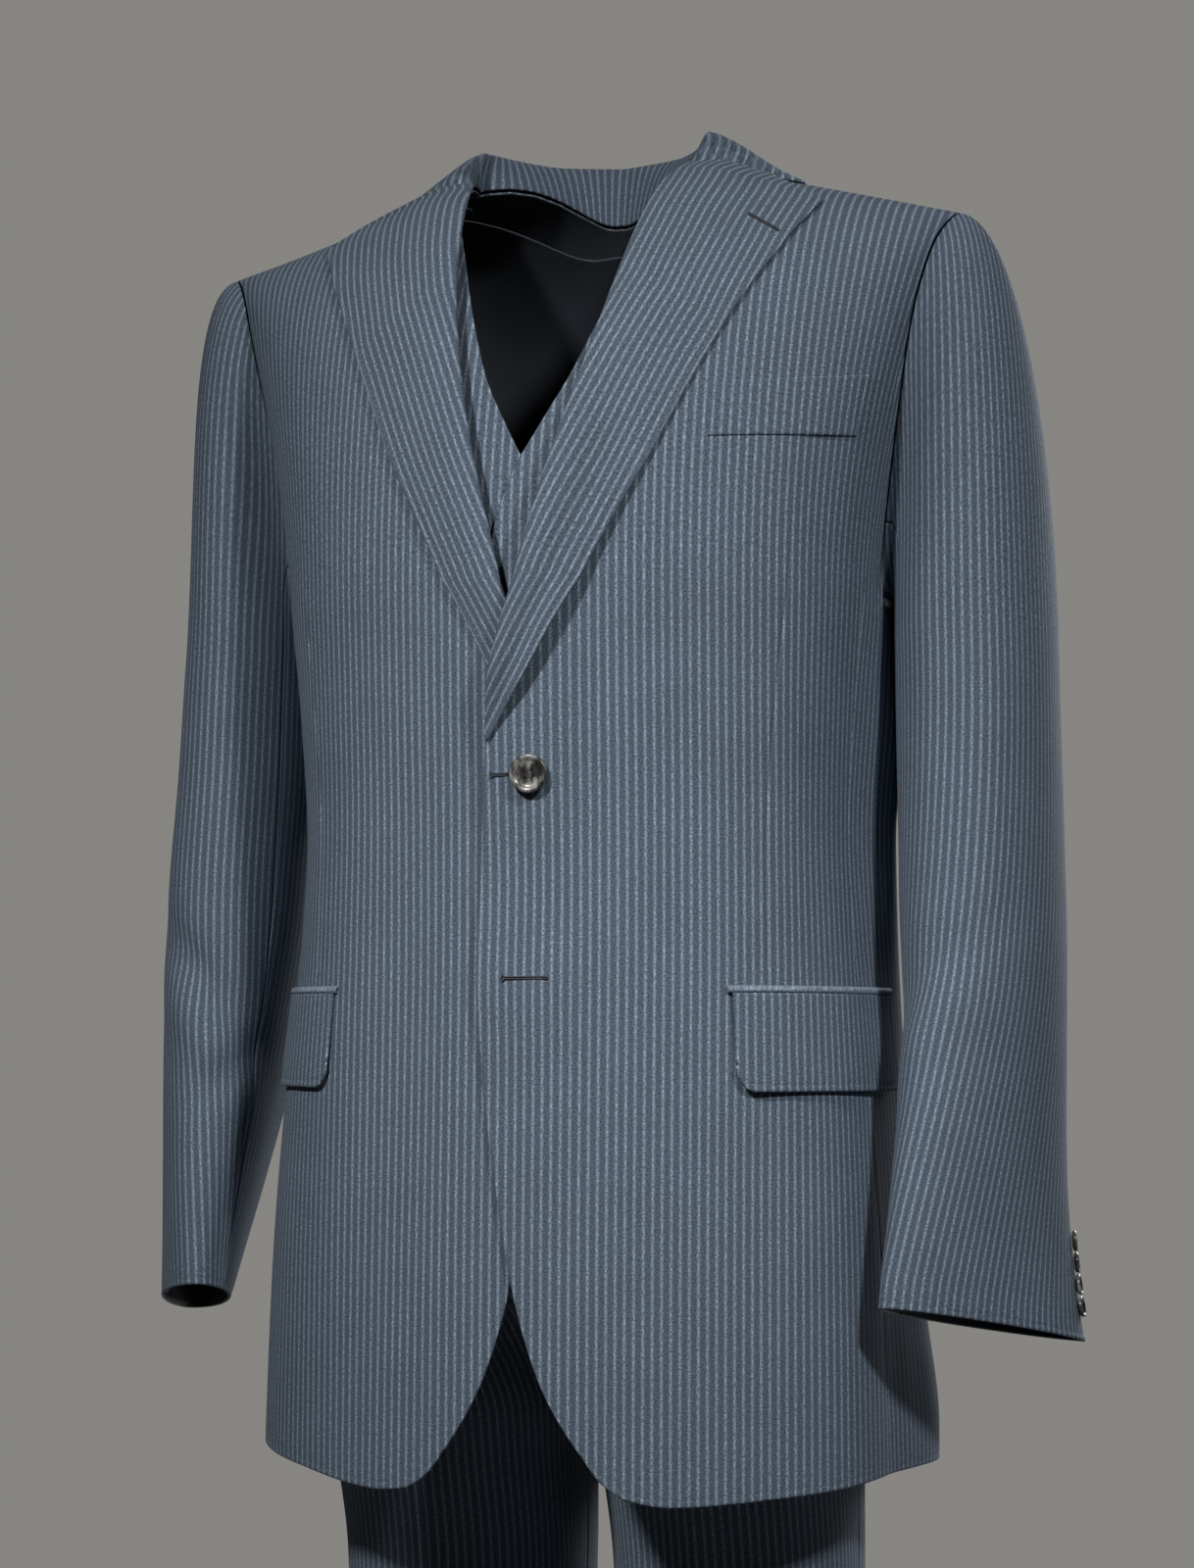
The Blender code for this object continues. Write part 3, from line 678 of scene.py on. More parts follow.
def cloth_material(name, base, stripe):
    """Striped twill: the UVs are metres across and along the cloth."""
    made, tree, shader = start_material(name, 0.86)
    place, across, along = cloth_place(tree)
    shift = maths(tree, "MULTIPLY_ADD", noise(tree, place, 900.0), STRIPE_WANDER, -STRIPE_WANDER / 2.0)
    share = maths(tree, "FRACT", maths(tree, "DIVIDE", maths(tree, "ADD", across, shift), STRIPE_PITCH))
    off = maths(tree, "ABSOLUTE", maths(tree, "SUBTRACT", share, 0.5))
    stripe_mask = ranged(tree, off, STRIPE_HALF + STRIPE_SOFT, STRIPE_HALF - STRIPE_SOFT)
    core = ranged(tree, off, 0.10, 0.02, 0.0, 0.35)
    mask = maths(tree, "MULTIPLY", maths(tree, "ADD", stripe_mask, core), STRIPE_STRENGTH)
    # Fine diagonal lines of the twill and the slubs of the yarn
    twill = wave(tree, maths(tree, "ADD", across, maths(tree, "MULTIPLY", along, TWILL_SLANT)), TWILL_STEP)
    yarn = wave(tree, along, YARN_STEP)
    grain = noise(tree, place, 950.0, 2.0, 0.70)
    cloud = noise(tree, place, 28.0, 4.0, 0.55)
    slub = noise(tree, stretched(tree, place, SLUB_SCALE), 1.0, 2.0, 0.6)
    mask = maths(tree, "MULTIPLY", mask, maths(tree, "MULTIPLY_ADD", yarn, 0.10, 0.90))
    mask = maths(tree, "MULTIPLY", mask, ranged(tree, slub, 0.32, 0.68, 0.45, 1.30))
    tone = maths(tree, "MULTIPLY_ADD", twill, 0.050, 1.0)
    for value, amount, rest in ((grain, 3.20, -0.60), (cloud, 0.26, 0.87)):
        tone = maths(tree, "MULTIPLY", tone, maths(tree, "MULTIPLY_ADD", value, amount, rest))
    tint(tree, shader, mixed(tree, mask, (*base, 1.0), (*stripe, 1.0)), tone)
    height = maths(tree, "MULTIPLY", twill, 0.35)
    for value, amount in ((yarn, 0.20), (grain, 1.4), (stripe_mask, 0.6)):
        height = maths(tree, "ADD", height, maths(tree, "MULTIPLY", value, amount))
    relief(tree, shader, height, 0.55, 0.00012)
    shader.inputs["Sheen Weight"].default_value = 0.05
    shader.inputs["Sheen Roughness"].default_value = 0.5
    shader.inputs["Sheen Tint"].default_value = (0.62, 0.70, 0.80, 1.0)
    shader.inputs["Specular IOR Level"].default_value = 0.25
    return made


def lining_material(name, colour, rough=0.42):
    """Twill lining with a soft gloss and faint ripples."""
    made, tree, shader = start_material(name, rough)
    place, across, along = cloth_place(tree)
    twill = wave(tree, maths(tree, "ADD", across, along), LINING_STEP)
    cloud = noise(tree, place, 24.0, 3.0)
    tone = maths(tree, "MULTIPLY", maths(tree, "MULTIPLY_ADD", cloud, 0.5, 0.75),
                 maths(tree, "MULTIPLY_ADD", twill, 0.06, 1.0))
    tint(tree, shader, colour, tone)
    relief(tree, shader, maths(tree, "ADD", maths(tree, "MULTIPLY", twill, 0.10), cloud), 0.4, 0.0008)
    shader.inputs["Sheen Weight"].default_value = 0.1
    return made


def horn_material(name, dark, light, rough=0.28):
    """Marbled horn, with pale veins running one way."""
    made, tree, shader = start_material(name, rough)
    place = node(tree, "ShaderNodeTexCoord").outputs["Object"]
    veins = noise(tree, stretched(tree, place, (230.0, 70.0, 110.0), (0.2, 0.4, 0.5)), 1.0, 5.0, 0.62)
    colour = mixed(tree, ranged(tree, veins, 0.42, 0.66), (*dark, 1.0), (*light, 1.0))
    tree.links.new(colour, shader.inputs["Base Color"])
    relief(tree, shader, noise(tree, place, 1400.0), 0.15, 0.0001)
    tree.links.new(ranged(tree, veins, 0.3, 0.7, rough, rough + 0.14), shader.inputs["Roughness"])
    shader.inputs["Coat Weight"].default_value = 0.35
    shader.inputs["Coat Roughness"].default_value = 0.18
    return made


def mottled(tree, shader, factor, colour, low, high):
    """The base colour: a colour between a darker and a lighter share of itself."""
    shades = [(*[c * share for c in colour], 1.0) for share in (low, high)]
    tree.links.new(mixed(tree, factor, *shades), shader.inputs["Base Color"])


def thread_material(name, colour):
    """Twisted sewing thread."""
    made, tree, shader = start_material(name, 0.7)
    twist = noise(tree, node(tree, "ShaderNodeTexCoord").outputs["Object"], 1800.0)
    mottled(tree, shader, twist, colour, 0.7, 1.25)
    relief(tree, shader, twist, 0.4, 0.0001)
    shader.inputs["Sheen Weight"].default_value = 0.2
    return made


def floor_material(name, colour, grain):
    made, tree, shader = start_material(name, 0.7)
    cloud = noise(tree, node(tree, "ShaderNodeTexCoord").outputs["Object"], 1.3, 3.0)
    mottled(tree, shader, cloud, colour, 1.0 - grain, 1.0 + grain)
    return made


WOOL_BASE = (0.062, 0.086, 0.120)
WOOL_STRIPE = (0.235, 0.288, 0.360)
wool = cloth_material("striped_wool", WOOL_BASE, WOOL_STRIPE)
dark_lining = lining_material("lining", (0.030, 0.036, 0.050))
back_satin = lining_material("waistcoat_back", (0.045, 0.055, 0.078), 0.36)
horn = horn_material("horn", (0.020, 0.018, 0.018), (0.240, 0.235, 0.225))
thread = thread_material("sewing_thread", (0.022, 0.026, 0.034))
stitch_thread = thread_material("edge_thread", (0.185, 0.215, 0.255))


# Building cloth

SHORTER = 0.026
SHORTER_ABOUT = -0.42
EDGE_ROWS = np.array([0.0003, 0.0008, 0.0014, 0.0024, 0.0034, 0.0044, 0.0060])
CLOSEST_ROWS = 0.00025


def marks(count, length, *focus):
    """Places from 0 to 1: count even steps, with more rows of points near both ends and at each focus."""
    near = EDGE_ROWS / length
    places = [np.linspace(0.0, 1.0, count + 1), near, 1.0 - near]
    for middle in focus:
        places += [middle + near, middle - near, np.array([middle])]
    every = np.unique(np.round(np.clip(np.concatenate(places), 0.0, 1.0), 6))
    keep = [0.0]
    for value in every[1:-1]:
        if min(value - keep[-1], 1.0 - value) > CLOSEST_ROWS / length:
            keep.append(value)
    return np.array(keep + [1.0])


def grid_normals(points):
    along = np.gradient(points, axis=1)
    up = np.gradient(points, axis=0)
    return unit(np.cross(along, up))


def edge_distances(points):
    """Distance of each grid point from the four sides: first and last column, first and last row."""
    across = run_lengths(points)
    up = run_lengths(points.swapaxes(0, 1)).T
    return [across, across[:, -1:] - across, up, up[-1:, :] - up]


def quads(rows, columns, start=0):
    index = np.arange(rows * columns).reshape(rows, columns) + start
    return np.stack([index[:-1, :-1], index[:-1, 1:], index[1:, 1:], index[1:, :-1]], axis=-1).reshape(-1, 4)


def settled(points):
    """The wearer's right side of the jacket hangs a little shorter than the left."""
    points = np.array(points, float)
    share = SHORTER * ease(-points[..., 0], 0.02, 0.20)
    points[..., 2] -= (points[..., 2] - SHORTER_ABOUT) * share
    return points


def put(name, data):
    """A new object in the scene."""
    made = bpy.data.objects.new(name, data)
    bpy.context.scene.collection.objects.link(made)
    return made


def link(name, points, faces, slots, materials, uvs=None, settle=True):
    """A mesh object from arrays of points and four-sided faces, made to face outwards."""
    points = settled(points) if settle else points
    corner = points[faces]
    volume = np.einsum("ij,ij->i", corner[:, 0], np.cross(corner[:, 1], corner[:, 2])).sum()
    volume += np.einsum("ij,ij->i", corner[:, 0], np.cross(corner[:, 2], corner[:, 3])).sum()
    if volume < 0.0:
        faces = faces[:, ::-1]
    mesh = bpy.data.meshes.new(name)
    mesh.vertices.add(len(points))
    mesh.vertices.foreach_set("co", points.astype(np.float32).ravel())
    mesh.loops.add(faces.size)
    mesh.loops.foreach_set("vertex_index", faces.astype(np.int32).ravel())
    mesh.polygons.add(len(faces))
    mesh.polygons.foreach_set("loop_start", np.arange(0, faces.size, 4, dtype=np.int32))
    for material in materials:
        mesh.materials.append(material)
    mesh.polygons.foreach_set("material_index", slots.astype(np.int32))
    mesh.update(calc_edges=True)
    if uvs is not None:
        layer = mesh.uv_layers.new(name="cloth")
        layer.data.foreach_set("uv", uvs[faces.ravel()].astype(np.float32).ravel())
    mesh.shade_smooth()
    mesh.validate()
    made = put(name, mesh)
    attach(made, "root")
    return made


def shell(name, us, vs, place, uv, side=1, out=1, thick=WOOL, looks=(wool, dark_lining), stitched=(),
          round_edges=(1, 1, 1, 1),
          allowance=SEAM_ALLOWANCE, settle=True):
    """The cloth of one solid: an outer and an inner layer on a grid, with rounded edges and sewn edge lines.

    place(u, v) gives the outer surface, uv(u, v, points) metres across and along the cloth. out is 1 where
    the u direction crossed with the v direction points out of the cloth's face, else -1. Edges are numbered
    as in edge_distances."""
    v, u = np.meshgrid(vs, us, indexing="ij")
    points = place(u, v)
    face = grid_normals(points) * out
    distance = edge_distances(points)
    for edge in stitched:
        points = points - face * (STITCH_DEEP * bump(distance[edge], STITCH_INSET, STITCH_WIDE))[..., None]
    face = grid_normals(points) * out
    nearest = np.full(u.shape, 1.0)
    for edge, wanted in enumerate(round_edges):
        if wanted:
            nearest = np.minimum(nearest, distance[edge])
    short = 1.0 - np.clip(nearest / ROUNDING, 0.0, 1.0)
    swell = np.maximum(np.sqrt(np.maximum(0.0, 1.0 - short * short)), THINNEST)[..., None]
    middle = points - face * thick / 2.0
    layers = [middle + face * swell * thick / 2.0, middle - face * swell * thick / 2.0]
    flip = np.array([side, 1.0, 1.0])
    layers = [layer * flip for layer in layers]
    rows, columns = u.shape
    count = rows * columns
    vertices = np.concatenate([layer.reshape(-1, 3) for layer in layers])
    outer = quads(rows, columns)
    inner = quads(rows, columns, count)[:, ::-1]
    index = np.arange(count).reshape(rows, columns)
    rims = []
    for line in (index[0, :], index[-1, ::-1], index[::-1, 0], index[:, -1]):
        rims.append(np.stack([line[:-1], line[:-1] + count, line[1:] + count, line[1:]], axis=-1))
    rims = np.concatenate(rims)
    faces = np.concatenate([outer, inner, rims])
    slots = np.concatenate([np.zeros(len(outer)), np.ones(len(inner)), np.zeros(len(rims))])
    uvs = np.stack(uv(u, v, points), axis=-1).reshape(-1, 2)
    made = link(name + "_cloth", vertices, faces, slots, looks, np.concatenate([uvs, uvs]), settle)
    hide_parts(name)
    width = float(distance[0][:, -1].max()) + 2 * allowance
    length = float(distance[2][-1, :].max()) + 2 * allowance
    width, length = round(width, 3), round(length, 3)
    return {"points": points * flip, "face": unit(face * flip), "distance": distance}


def line_lengths(points):
    return np.concatenate([[0.0], np.cumsum(np.linalg.norm(np.diff(points, axis=0), axis=1))])


def read_line(at, places, points):
    return np.stack([np.interp(at, places, points[:, k]) for k in range(3)], axis=-1)


def beads(name, lines, material):
    """Short stitches along lines of (points, normals)."""
    template = np.array([[-1, 0, 0], [-0.55, 0.7, 0.3], [-0.55, -0.7, 0.3], [0.55, 0.7, 0.3],
                         [0.55, -0.7, 0.3], [1, 0, 0], [-0.5, 0, 1], [0.5, 0, 1], [-0.5, 0, -1],
                         [0.5, 0, -1]], float)
    pattern = np.array([[0, 2, 6, 1], [1, 6, 7, 3], [6, 2, 4, 7], [3, 7, 4, 5],
                        [0, 1, 8, 2], [1, 3, 9, 8], [8, 9, 4, 2], [3, 5, 4, 9]])
    local = template * np.array(STITCH_SIZE) / 2.0
    every, faces, start = [], [], 0
    for points, normals in lines:
        travelled = line_lengths(points)
        at = np.arange(STITCH_STEP / 2.0, travelled[-1], STITCH_STEP)
        centre = read_line(at, travelled, points)
        ahead = read_line(at + STITCH_LOOK, travelled, points)
        along = unit(ahead - read_line(at - STITCH_LOOK, travelled, points))
        aside = unit(np.cross(unit(read_line(at, travelled, normals)), along))
        lifted = np.cross(along, aside)
        made = (centre[:, None, :] + local[None, :, 0:1] * along[:, None, :]
                + local[None, :, 1:2] * aside[:, None, :] + local[None, :, 2:3] * lifted[:, None, :])
        every.append(made.reshape(-1, 3))
        for _ in at:
            faces.append(pattern + start)
            start += len(template)
    return link(name, np.concatenate(every), np.concatenate(faces), np.zeros(len(faces) * len(pattern)),
                [material], None)


def inset_line(piece, edge, inset, first=0, last=None):
    """Points and normals along one side of a piece's grid, a little way in from it."""
    grids = [piece["points"], piece["face"], piece["distance"][edge]]
    if edge >= 2:
        grids = [grid.swapaxes(0, 1) for grid in grids]
    found, normals = [], []
    for points, face, distance in list(zip(*grids))[first:last]:
        order = np.argsort(distance)
        found.append([np.interp(inset, distance[order], points[order, k]) for k in range(3)])
        normals.append([np.interp(inset, distance[order], face[order, k]) for k in range(3)])
    return np.array(found), unit(np.array(normals))


def trimmed(line, start, end):
    """A line of points without its first and last stretch."""
    points, normals = line
    travelled = line_lengths(points)
    keep = (travelled >= start) & (travelled <= travelled[-1] - end)
    return points[keep], normals[keep]


# Jacket body

DART = (
    # level, angle
    (-0.231, 53.2),
    (-0.469, 48.9),
)
DART_DEEP = 0.00055
DART_WIDE = 0.0009


def dart_angle(level):
    return mix(DART[0][1], DART[1][1], (level - DART[0][0]) / (DART[1][0] - DART[0][0]))


SKIRT_WAVES = {
    # height, waves in a round, start, middle, width
    1: (0.0012, 7.0, 20.0, 55.0, 45.0),
    -1: (0.0014, 6.0, 70.0, 45.0, 40.0),
}
WAIST_WAVES = (0.0007, 9.0, 0.0, 60.0, 30.0)
BACK_WAVES = (0.0014, 8.0, 0.0, 30.0, 26.0)
BODY_FOLDS = {
    # height, angle, width, level, width, slant, level without slant
    1: (
        (-0.0011, 30.0, 5.0, -0.42, 0.10, -10.0, -0.385),
    ),
    -1: (
        (-0.0024, 20.0, 8.0, -0.52, 0.17, 0.0, 0.0),
        (0.0016, 38.0, 9.0, -0.56, 0.15, 0.0, 0.0),
    ),
}
BACK_FOLDS = (
    # height, angle, width, level, width, slant, level without slant
    (0.0016, 46.0, 12.0, -0.16, 0.07, 0.0, 0.0),
    (-0.0010, 30.0, 9.0, -0.36, 0.09, 0.0, 0.0),
)
NAPE_FOLDS = (
    # height, level, width, angle, width, slant, angle without slant
    (-0.0010, -0.105, 0.012, 0.0, 24.0, 0.0004, 0.0),
)


def waves(at, height, count, start, middle, width):
    return height * np.sin(np.radians(at * count + start)) * bump(at, middle, width)


def drape(angle, level, side):
    """Soft folds of the jacket's body, as a height over the form."""
    high = ease(level, -0.42, -0.62) * waves(angle, *SKIRT_WAVES[side])
    high = high + folds(BODY_FOLDS[side], angle, level)
    high = high + bump(level, -0.385, 0.10) * waves(angle, *WAIST_WAVES)
    hollow = 70.0 - 12.0 * bump(level, -0.20, 0.05)
    return high - 0.0006 * bump(angle, hollow, 6.0) * bump(level, -0.22, 0.06)


def straight(shape, start=0.0, share=1.0):
    """UVs whose stripes run straight up the form, for a piece with this shape."""
    def uv(u, v, points):
        angle, level = shape(u, v)
        return arc(angle, level) * share + start, level

    return uv


FRONT_FOLD = 0.62


def front_shape(u, v, side):
    """Angle and level on a front; one column of points always lies along the dart."""
    level = mix(smooth(FRONT_HEMS[side], u, 1), -EDGE_GAP, v ** 0.92)
    inner = angle_of(smooth(FRONT_EDGE, level, 1), level)
    outer = front_side(level) - SEAM_TURN
    fold = np.clip((dart_angle(level) - inner) / (outer - inner), 0.35, 0.85)
    beyond = fold + (u - FRONT_FOLD) / (1.0 - FRONT_FOLD) * (1.0 - fold)
    return mix(inner, outer, np.where(u < FRONT_FOLD, u / FRONT_FOLD * fold, beyond)), level


def front_place(side):
    def place(u, v):
        angle, level = front_shape(u, v, side)
        x = body(angle, level)[..., 0]
        sewn = ease(level, DART[1][0] - 0.004, DART[1][0] + 0.012)
        sewn = sewn * ease(level, DART[0][0] + 0.004, DART[0][0] - 0.03)
        groove = DART_DEEP * sewn * bump((u - FRONT_FOLD) * 0.20, 0.0, DART_WIDE)
        lift = overlap(x, level) if side > 0 else 0.0 * x
        return on_body(angle, level, lift + drape(angle, level, side) - groove)

    return place


def jacket_front(side):
    word = WORDS[side]

    def shape(u, v):
        return front_shape(u, v, side)

    return shell("front_" + word, marks(46, 0.20, FRONT_FOLD), marks(120, 0.74), front_place(side),
                 straight(shape), side=side, stitched=(0, 2))


def jacket_side(side):
    low_arm = np.array([row for row in ARM_FRONT if row[0] < -0.10])[::-1]

    def shape(u, v):
        angle = mix(FRONT_SEAM + SEAM_TURN, 180.0 - SIDE_SEAM - SEAM_TURN, u)
        reach = (angle - 90.0) / ARM_ANGLE
        behind = -ARM_HALF - ARM_HALF * np.sqrt(np.maximum(0.0, 1.0 - reach * reach))
        ahead = np.interp(90.0 - angle, low_arm[:, 1], low_arm[:, 0])
        top = np.where(angle < 90.0, ahead, behind) - EDGE_GAP
        hem = mix(FRONT_HEMS[side][-1][1], BODY_HEM, u)
        return angle, mix(hem, top, v)

    def place(u, v):
        angle, level = shape(u, v)
        return on_body(angle, level, drape(angle, level, side) * ease(angle, 110.0, 80.0))

    def uv(u, v, points):
        angle, level = shape(u, v)
        return arc(angle, level) - arc(90.0, level) + STRIPE_STARTS["side"], level

    return shell("side_" + WORDS[side], marks(16, 0.09), marks(80, 0.50), place, uv, side=side,
                 stitched=(2,))


def back_neck_level(u):
    return mix(BACK_NECK, -EDGE_GAP, ease(u, 0.0, BACK_NECK_SHARE))


def back_angle(u, level):
    return mix(180.0 - 0.01, back_side(level) + SEAM_TURN, u)


def jacket_back(side):
    def shape(u, v):
        level = mix(BODY_HEM, back_neck_level(u), v)
        return back_angle(u, level), level

    def place(u, v):
        angle, level = shape(u, v)
        behind = 180.0 - angle
        sag = folds(BACK_FOLDS, behind, level) + folds(NAPE_FOLDS, level, behind)
        sag = sag + ease(level, -0.48, -0.66) * waves(behind, *BACK_WAVES)
        return on_body(angle, level, sag)

    def uv(u, v, points):
        angle, level = shape(u, v)
        return arc(180.0, level) - arc(angle, level) + STRIPE_PITCH / 4.0, level

    return shell("back_" + WORDS[side], marks(34, 0.20), marks(100, 0.70), place, uv, side=side, out=-1,
                 stitched=(2,))


# Lapels

LAPEL_CURL = 0.16
LAPEL_LEVEL = -0.30
LAPEL_BELLY = 0.0024
LAPEL_STAND = 0.0060
LAPEL_STRIPES = ((-0.053, 0.1490), (-0.328, -0.0030))


def lapel_level(u, v):
    return mix(BREAK, np.interp(u, *np.transpose(LAPEL_TOP)), v)


def lapel_radius(level, side):
    """Radius of the roll, smaller towards the break."""
    if side > 0:
        wide = mix(0.0024, 0.0046, ease(level, -0.14, -0.28))
        return wide * ease(level, BREAK - 0.004, BREAK + 0.045) + 0.0006
    return 0.0021 * ease(level, BREAK - 0.004, BREAK + 0.03) + 0.0004


def lapel_place(side):
    def place(u, v):
        level = lapel_level(u, v)
        edge = smooth(FRONT_EDGE, level, 1)
        width = smooth(LAPEL_EDGE, level, 1) - edge
        radius = lapel_radius(level, side)
        curl = np.clip(u / LAPEL_CURL, 0.0, 1.0)
        beyond = np.clip((u - LAPEL_CURL) / (1.0 - LAPEL_CURL), 0.0, 1.0)
        turn = (curl - 0.5) * math.pi
        x = edge - radius * np.cos(turn) * (curl < 1.0) + width * beyond
        out = mix(radius + radius * np.sin(turn), LAID_GAP + WOOL, ease(beyond, 0.0, 0.60))
        out = out + LAPEL_BELLY * np.sin(math.pi * beyond ** 0.7) ** 1.2 * ease(level, BREAK, -0.25)
        if side > 0:
            stand = LAPEL_STAND * bump(level, -0.285, 0.050) * ease(level, BREAK, BREAK + 0.03)
            out = out + stand * ease(beyond, 0.1, 0.9) + overlap(x, LAPEL_LEVEL)
        return on_body(angle_of(x, level), level, out)

    return place


def lapel_uv(u, v, points):
    """Stripes nearly parallel to the lapel's outer edge."""
    level = lapel_level(u, v)
    (high, high_x), (low, low_x) = LAPEL_STRIPES
    straight = mix(high_x, low_x, (level - high) / (low - high))
    curved = smooth(LAPEL_EDGE, np.minimum(level, high), 1) + np.maximum(level - high, 0.0) * 0.60
    line = mix(straight, curved, 0.70)
    ahead = np.maximum(points[..., 1] + 0.100, 0.0) * 0.30
    return (line - points[..., 0] - ahead) * 1.03 + STRIPE_STARTS["lapel"], level * 1.15


def jacket_lapel(side):
    word = WORDS[side]
    us = marks(30, 0.09, LAPEL_CURL)
    us = np.unique(np.concatenate([us, np.linspace(0.0, LAPEL_CURL, 9)]))
    return shell("lapel_" + word, us, marks(90, 0.32), lapel_place(side), lapel_uv, side=side,
                 stitched=(1, 3), looks=(wool, wool))


# Collar

def neckline(station):
    behind = station <= SHOULDER_STATION
    u = BACK_NECK_SHARE * np.minimum(station, SHOULDER_STATION) / SHOULDER_STATION
    back_level = back_neck_level(u)
    back = on_body(back_angle(u, back_level), back_level, 0.0)
    share = np.clip((station - SHOULDER_STATION) / (1.0 - SHOULDER_STATION), 0.0, 1.0)
    level = mix(-EDGE_GAP, GORGE_LEVEL, share)
    ahead = on_body(angle_of(smooth(FRONT_EDGE, level, 1), level), level, 0.0)
    return np.where(behind[..., None], back, ahead)


def collar_section(station, share):
    """A point of the collar: share 0 to 1 up the stand, 1 to 2 down the fall."""
    station, share = matched(station, share)
    side = np.where(station < 0.0, -1.0, 1.0)
    place = np.abs(station)
    crease = joined(*(smooth(COLLAR_ROWS, place, column) for column in (1, 2, 3)))
    clear = EDGE_GAP + WOOL / 2.0
    neck = neckline(place) + np.array([0.0, 0.0, clear])
    up = np.clip(share, 0.0, 1.0)[..., None]
    stand = mix(neck, crease, np.sin(up * math.pi / 2))
    stand = stand - (crease - neck) * (0.15, 0.15, 0.0) * np.sin(up * math.pi)
    down = np.clip(share - 1.0, 0.0, 1.0)
    ex, ey = (smooth(COLLAR_ROWS, place, column) for column in (4, 5))
    edge = joined(ex, ey, shoulder_height(ex, ey) + clear)
    fall = mix(crease, edge, down[..., None])
    roll = COLLAR_ROLL * np.sin(math.pi * down ** 0.65) * ease(1.0 - place, 0.0, 0.35)
    flat = unit((edge - crease) * (1, 1, 0))
    fall = fall + flat * (roll * 0.6)[..., None] + joined(0.0 * roll, 0.0 * roll, roll * 0.8)
    fall[..., 1] -= GORGE_BOW * np.sin(math.pi * down) * ease(place, 0.80, 1.0)
    floor = shoulder_height(fall[..., 0], fall[..., 1]) + clear * 1.1
    fall[..., 2] = np.maximum(fall[..., 2], floor)
    point = np.where((share <= 1.0)[..., None], stand, fall)
    return mirrored(point, side)


def jacket_collar():
    def place(u, v):
        points = collar_section(mix(-1.0, 1.0, u), v * 2.0)
        return points + grid_normals(points) * WOOL / 2.0

    stations = np.linspace(0.0, 1.0, 101)
    crease_x, crease_y = (smooth(COLLAR_ROWS, stations, column) for column in (1, 2))
    steps = np.hypot(np.diff(crease_x), np.diff(crease_y))
    lean = np.radians(COLLAR_LEAN) * ease(stations, 0.30, 0.80)
    run = np.concatenate([[0.0], np.cumsum(steps * np.cos((lean[1:] + lean[:-1]) / 2.0))])

    def uv(u, v, points):
        station = mix(-1.0, 1.0, u)
        share = v * 2.0
        at = np.interp(np.abs(station), stations, run)
        turned = np.interp(np.abs(station), stations, lean)
        across = at - COLLAR_FALL * np.maximum(share - 1.0, 0.0) * np.sin(turned)
        return np.copysign(across, station), share * COLLAR_FALL * np.cos(turned) + at

    return shell("collar", marks(110, 0.50), marks(34, 0.11), place, uv, stitched=(3,),
                 looks=(wool, wool))


# Sleeves

def sleeve_ring(height, turn_angle, side):
    x, y, a, b = (smooth(SLEEVES[side], height, column) for column in range(1, 5))
    share = (TUBE_FROM - height) / (TUBE_FROM - TUBE_TO)
    twist = math.radians(CUFF_TURNS[side]) * np.maximum(0.0, share) ** 2
    slope_y = (smooth(SLEEVES[side], height - 0.01, 2) - smooth(SLEEVES[side], height + 0.01, 2)) / 0.02
    turn = np.radians(turn_angle)
    outward = a * np.cos(turn)
    forward = b * np.sin(turn)
    dx = outward * np.cos(twist) - forward * np.sin(twist)
    dy = -outward * np.sin(twist) - forward * np.cos(twist)
    slant = CUFF_SLANT * ease(share, 0.70, 1.0) * (1.0 + np.sin(turn)) / 2.0
    return joined(x + dx, y + dy, height + dy * slope_y + slant)


def sleeve_point(along, turn_angle, side):
    """along is 0 at the armhole, CAP_SHARE where the tube begins and 1 at the cuff."""
    along, turn_angle = matched(along, turn_angle)
    share = np.clip((along - CAP_SHARE) / (1.0 - CAP_SHARE), 0.0, 1.0)
    tube = sleeve_ring(mix(TUBE_FROM, TUBE_TO, share), turn_angle, side)
    turn = np.radians(turn_angle)
    s, c = np.sin(turn), np.cos(turn)
    high = (1.0 + c) / 2.0
    level = np.minimum(-ARM_HALF + ARM_HALF * c, -0.001)
    start = body(np.where(s > 0.0, 90.0 - smooth(ARM_FRONT, level, 1), 90.0 - ARM_ANGLE * s), level)
    away = unit(joined(0.90 + 0.0 * s, -0.42 * s, 0.05 * high - 0.30 * high * high + 0.25 * (1.0 - high)))
    start = start + away * (SLEEVE_GAP * (1.0 + high ** 4))[..., None]
    end = sleeve_ring(np.full(turn.shape, TUBE_FROM), turn_angle, side)
    down = (sleeve_ring(np.full(turn.shape, TUBE_FROM - 0.01), turn_angle, side) - end) / 0.01
    reach = 0.006 + 0.026 * np.sin(turn / 2.0 + math.pi / 2) ** 2 + 0.010 * s * s
    rise = 0.016 + 0.105 * high
    t = np.clip(along / CAP_SHARE, 0.0, 1.0)[..., None]
    first_handle = start + away * reach[..., None]
    second_handle = end - down * rise[..., None]
    cap = ((1 - t) ** 3 * start + 3 * t * (1 - t) ** 2 * first_handle
           + 3 * t * t * (1 - t) * second_handle + t ** 3 * end)
    return np.where((along >= CAP_SHARE)[..., None], tube, cap)


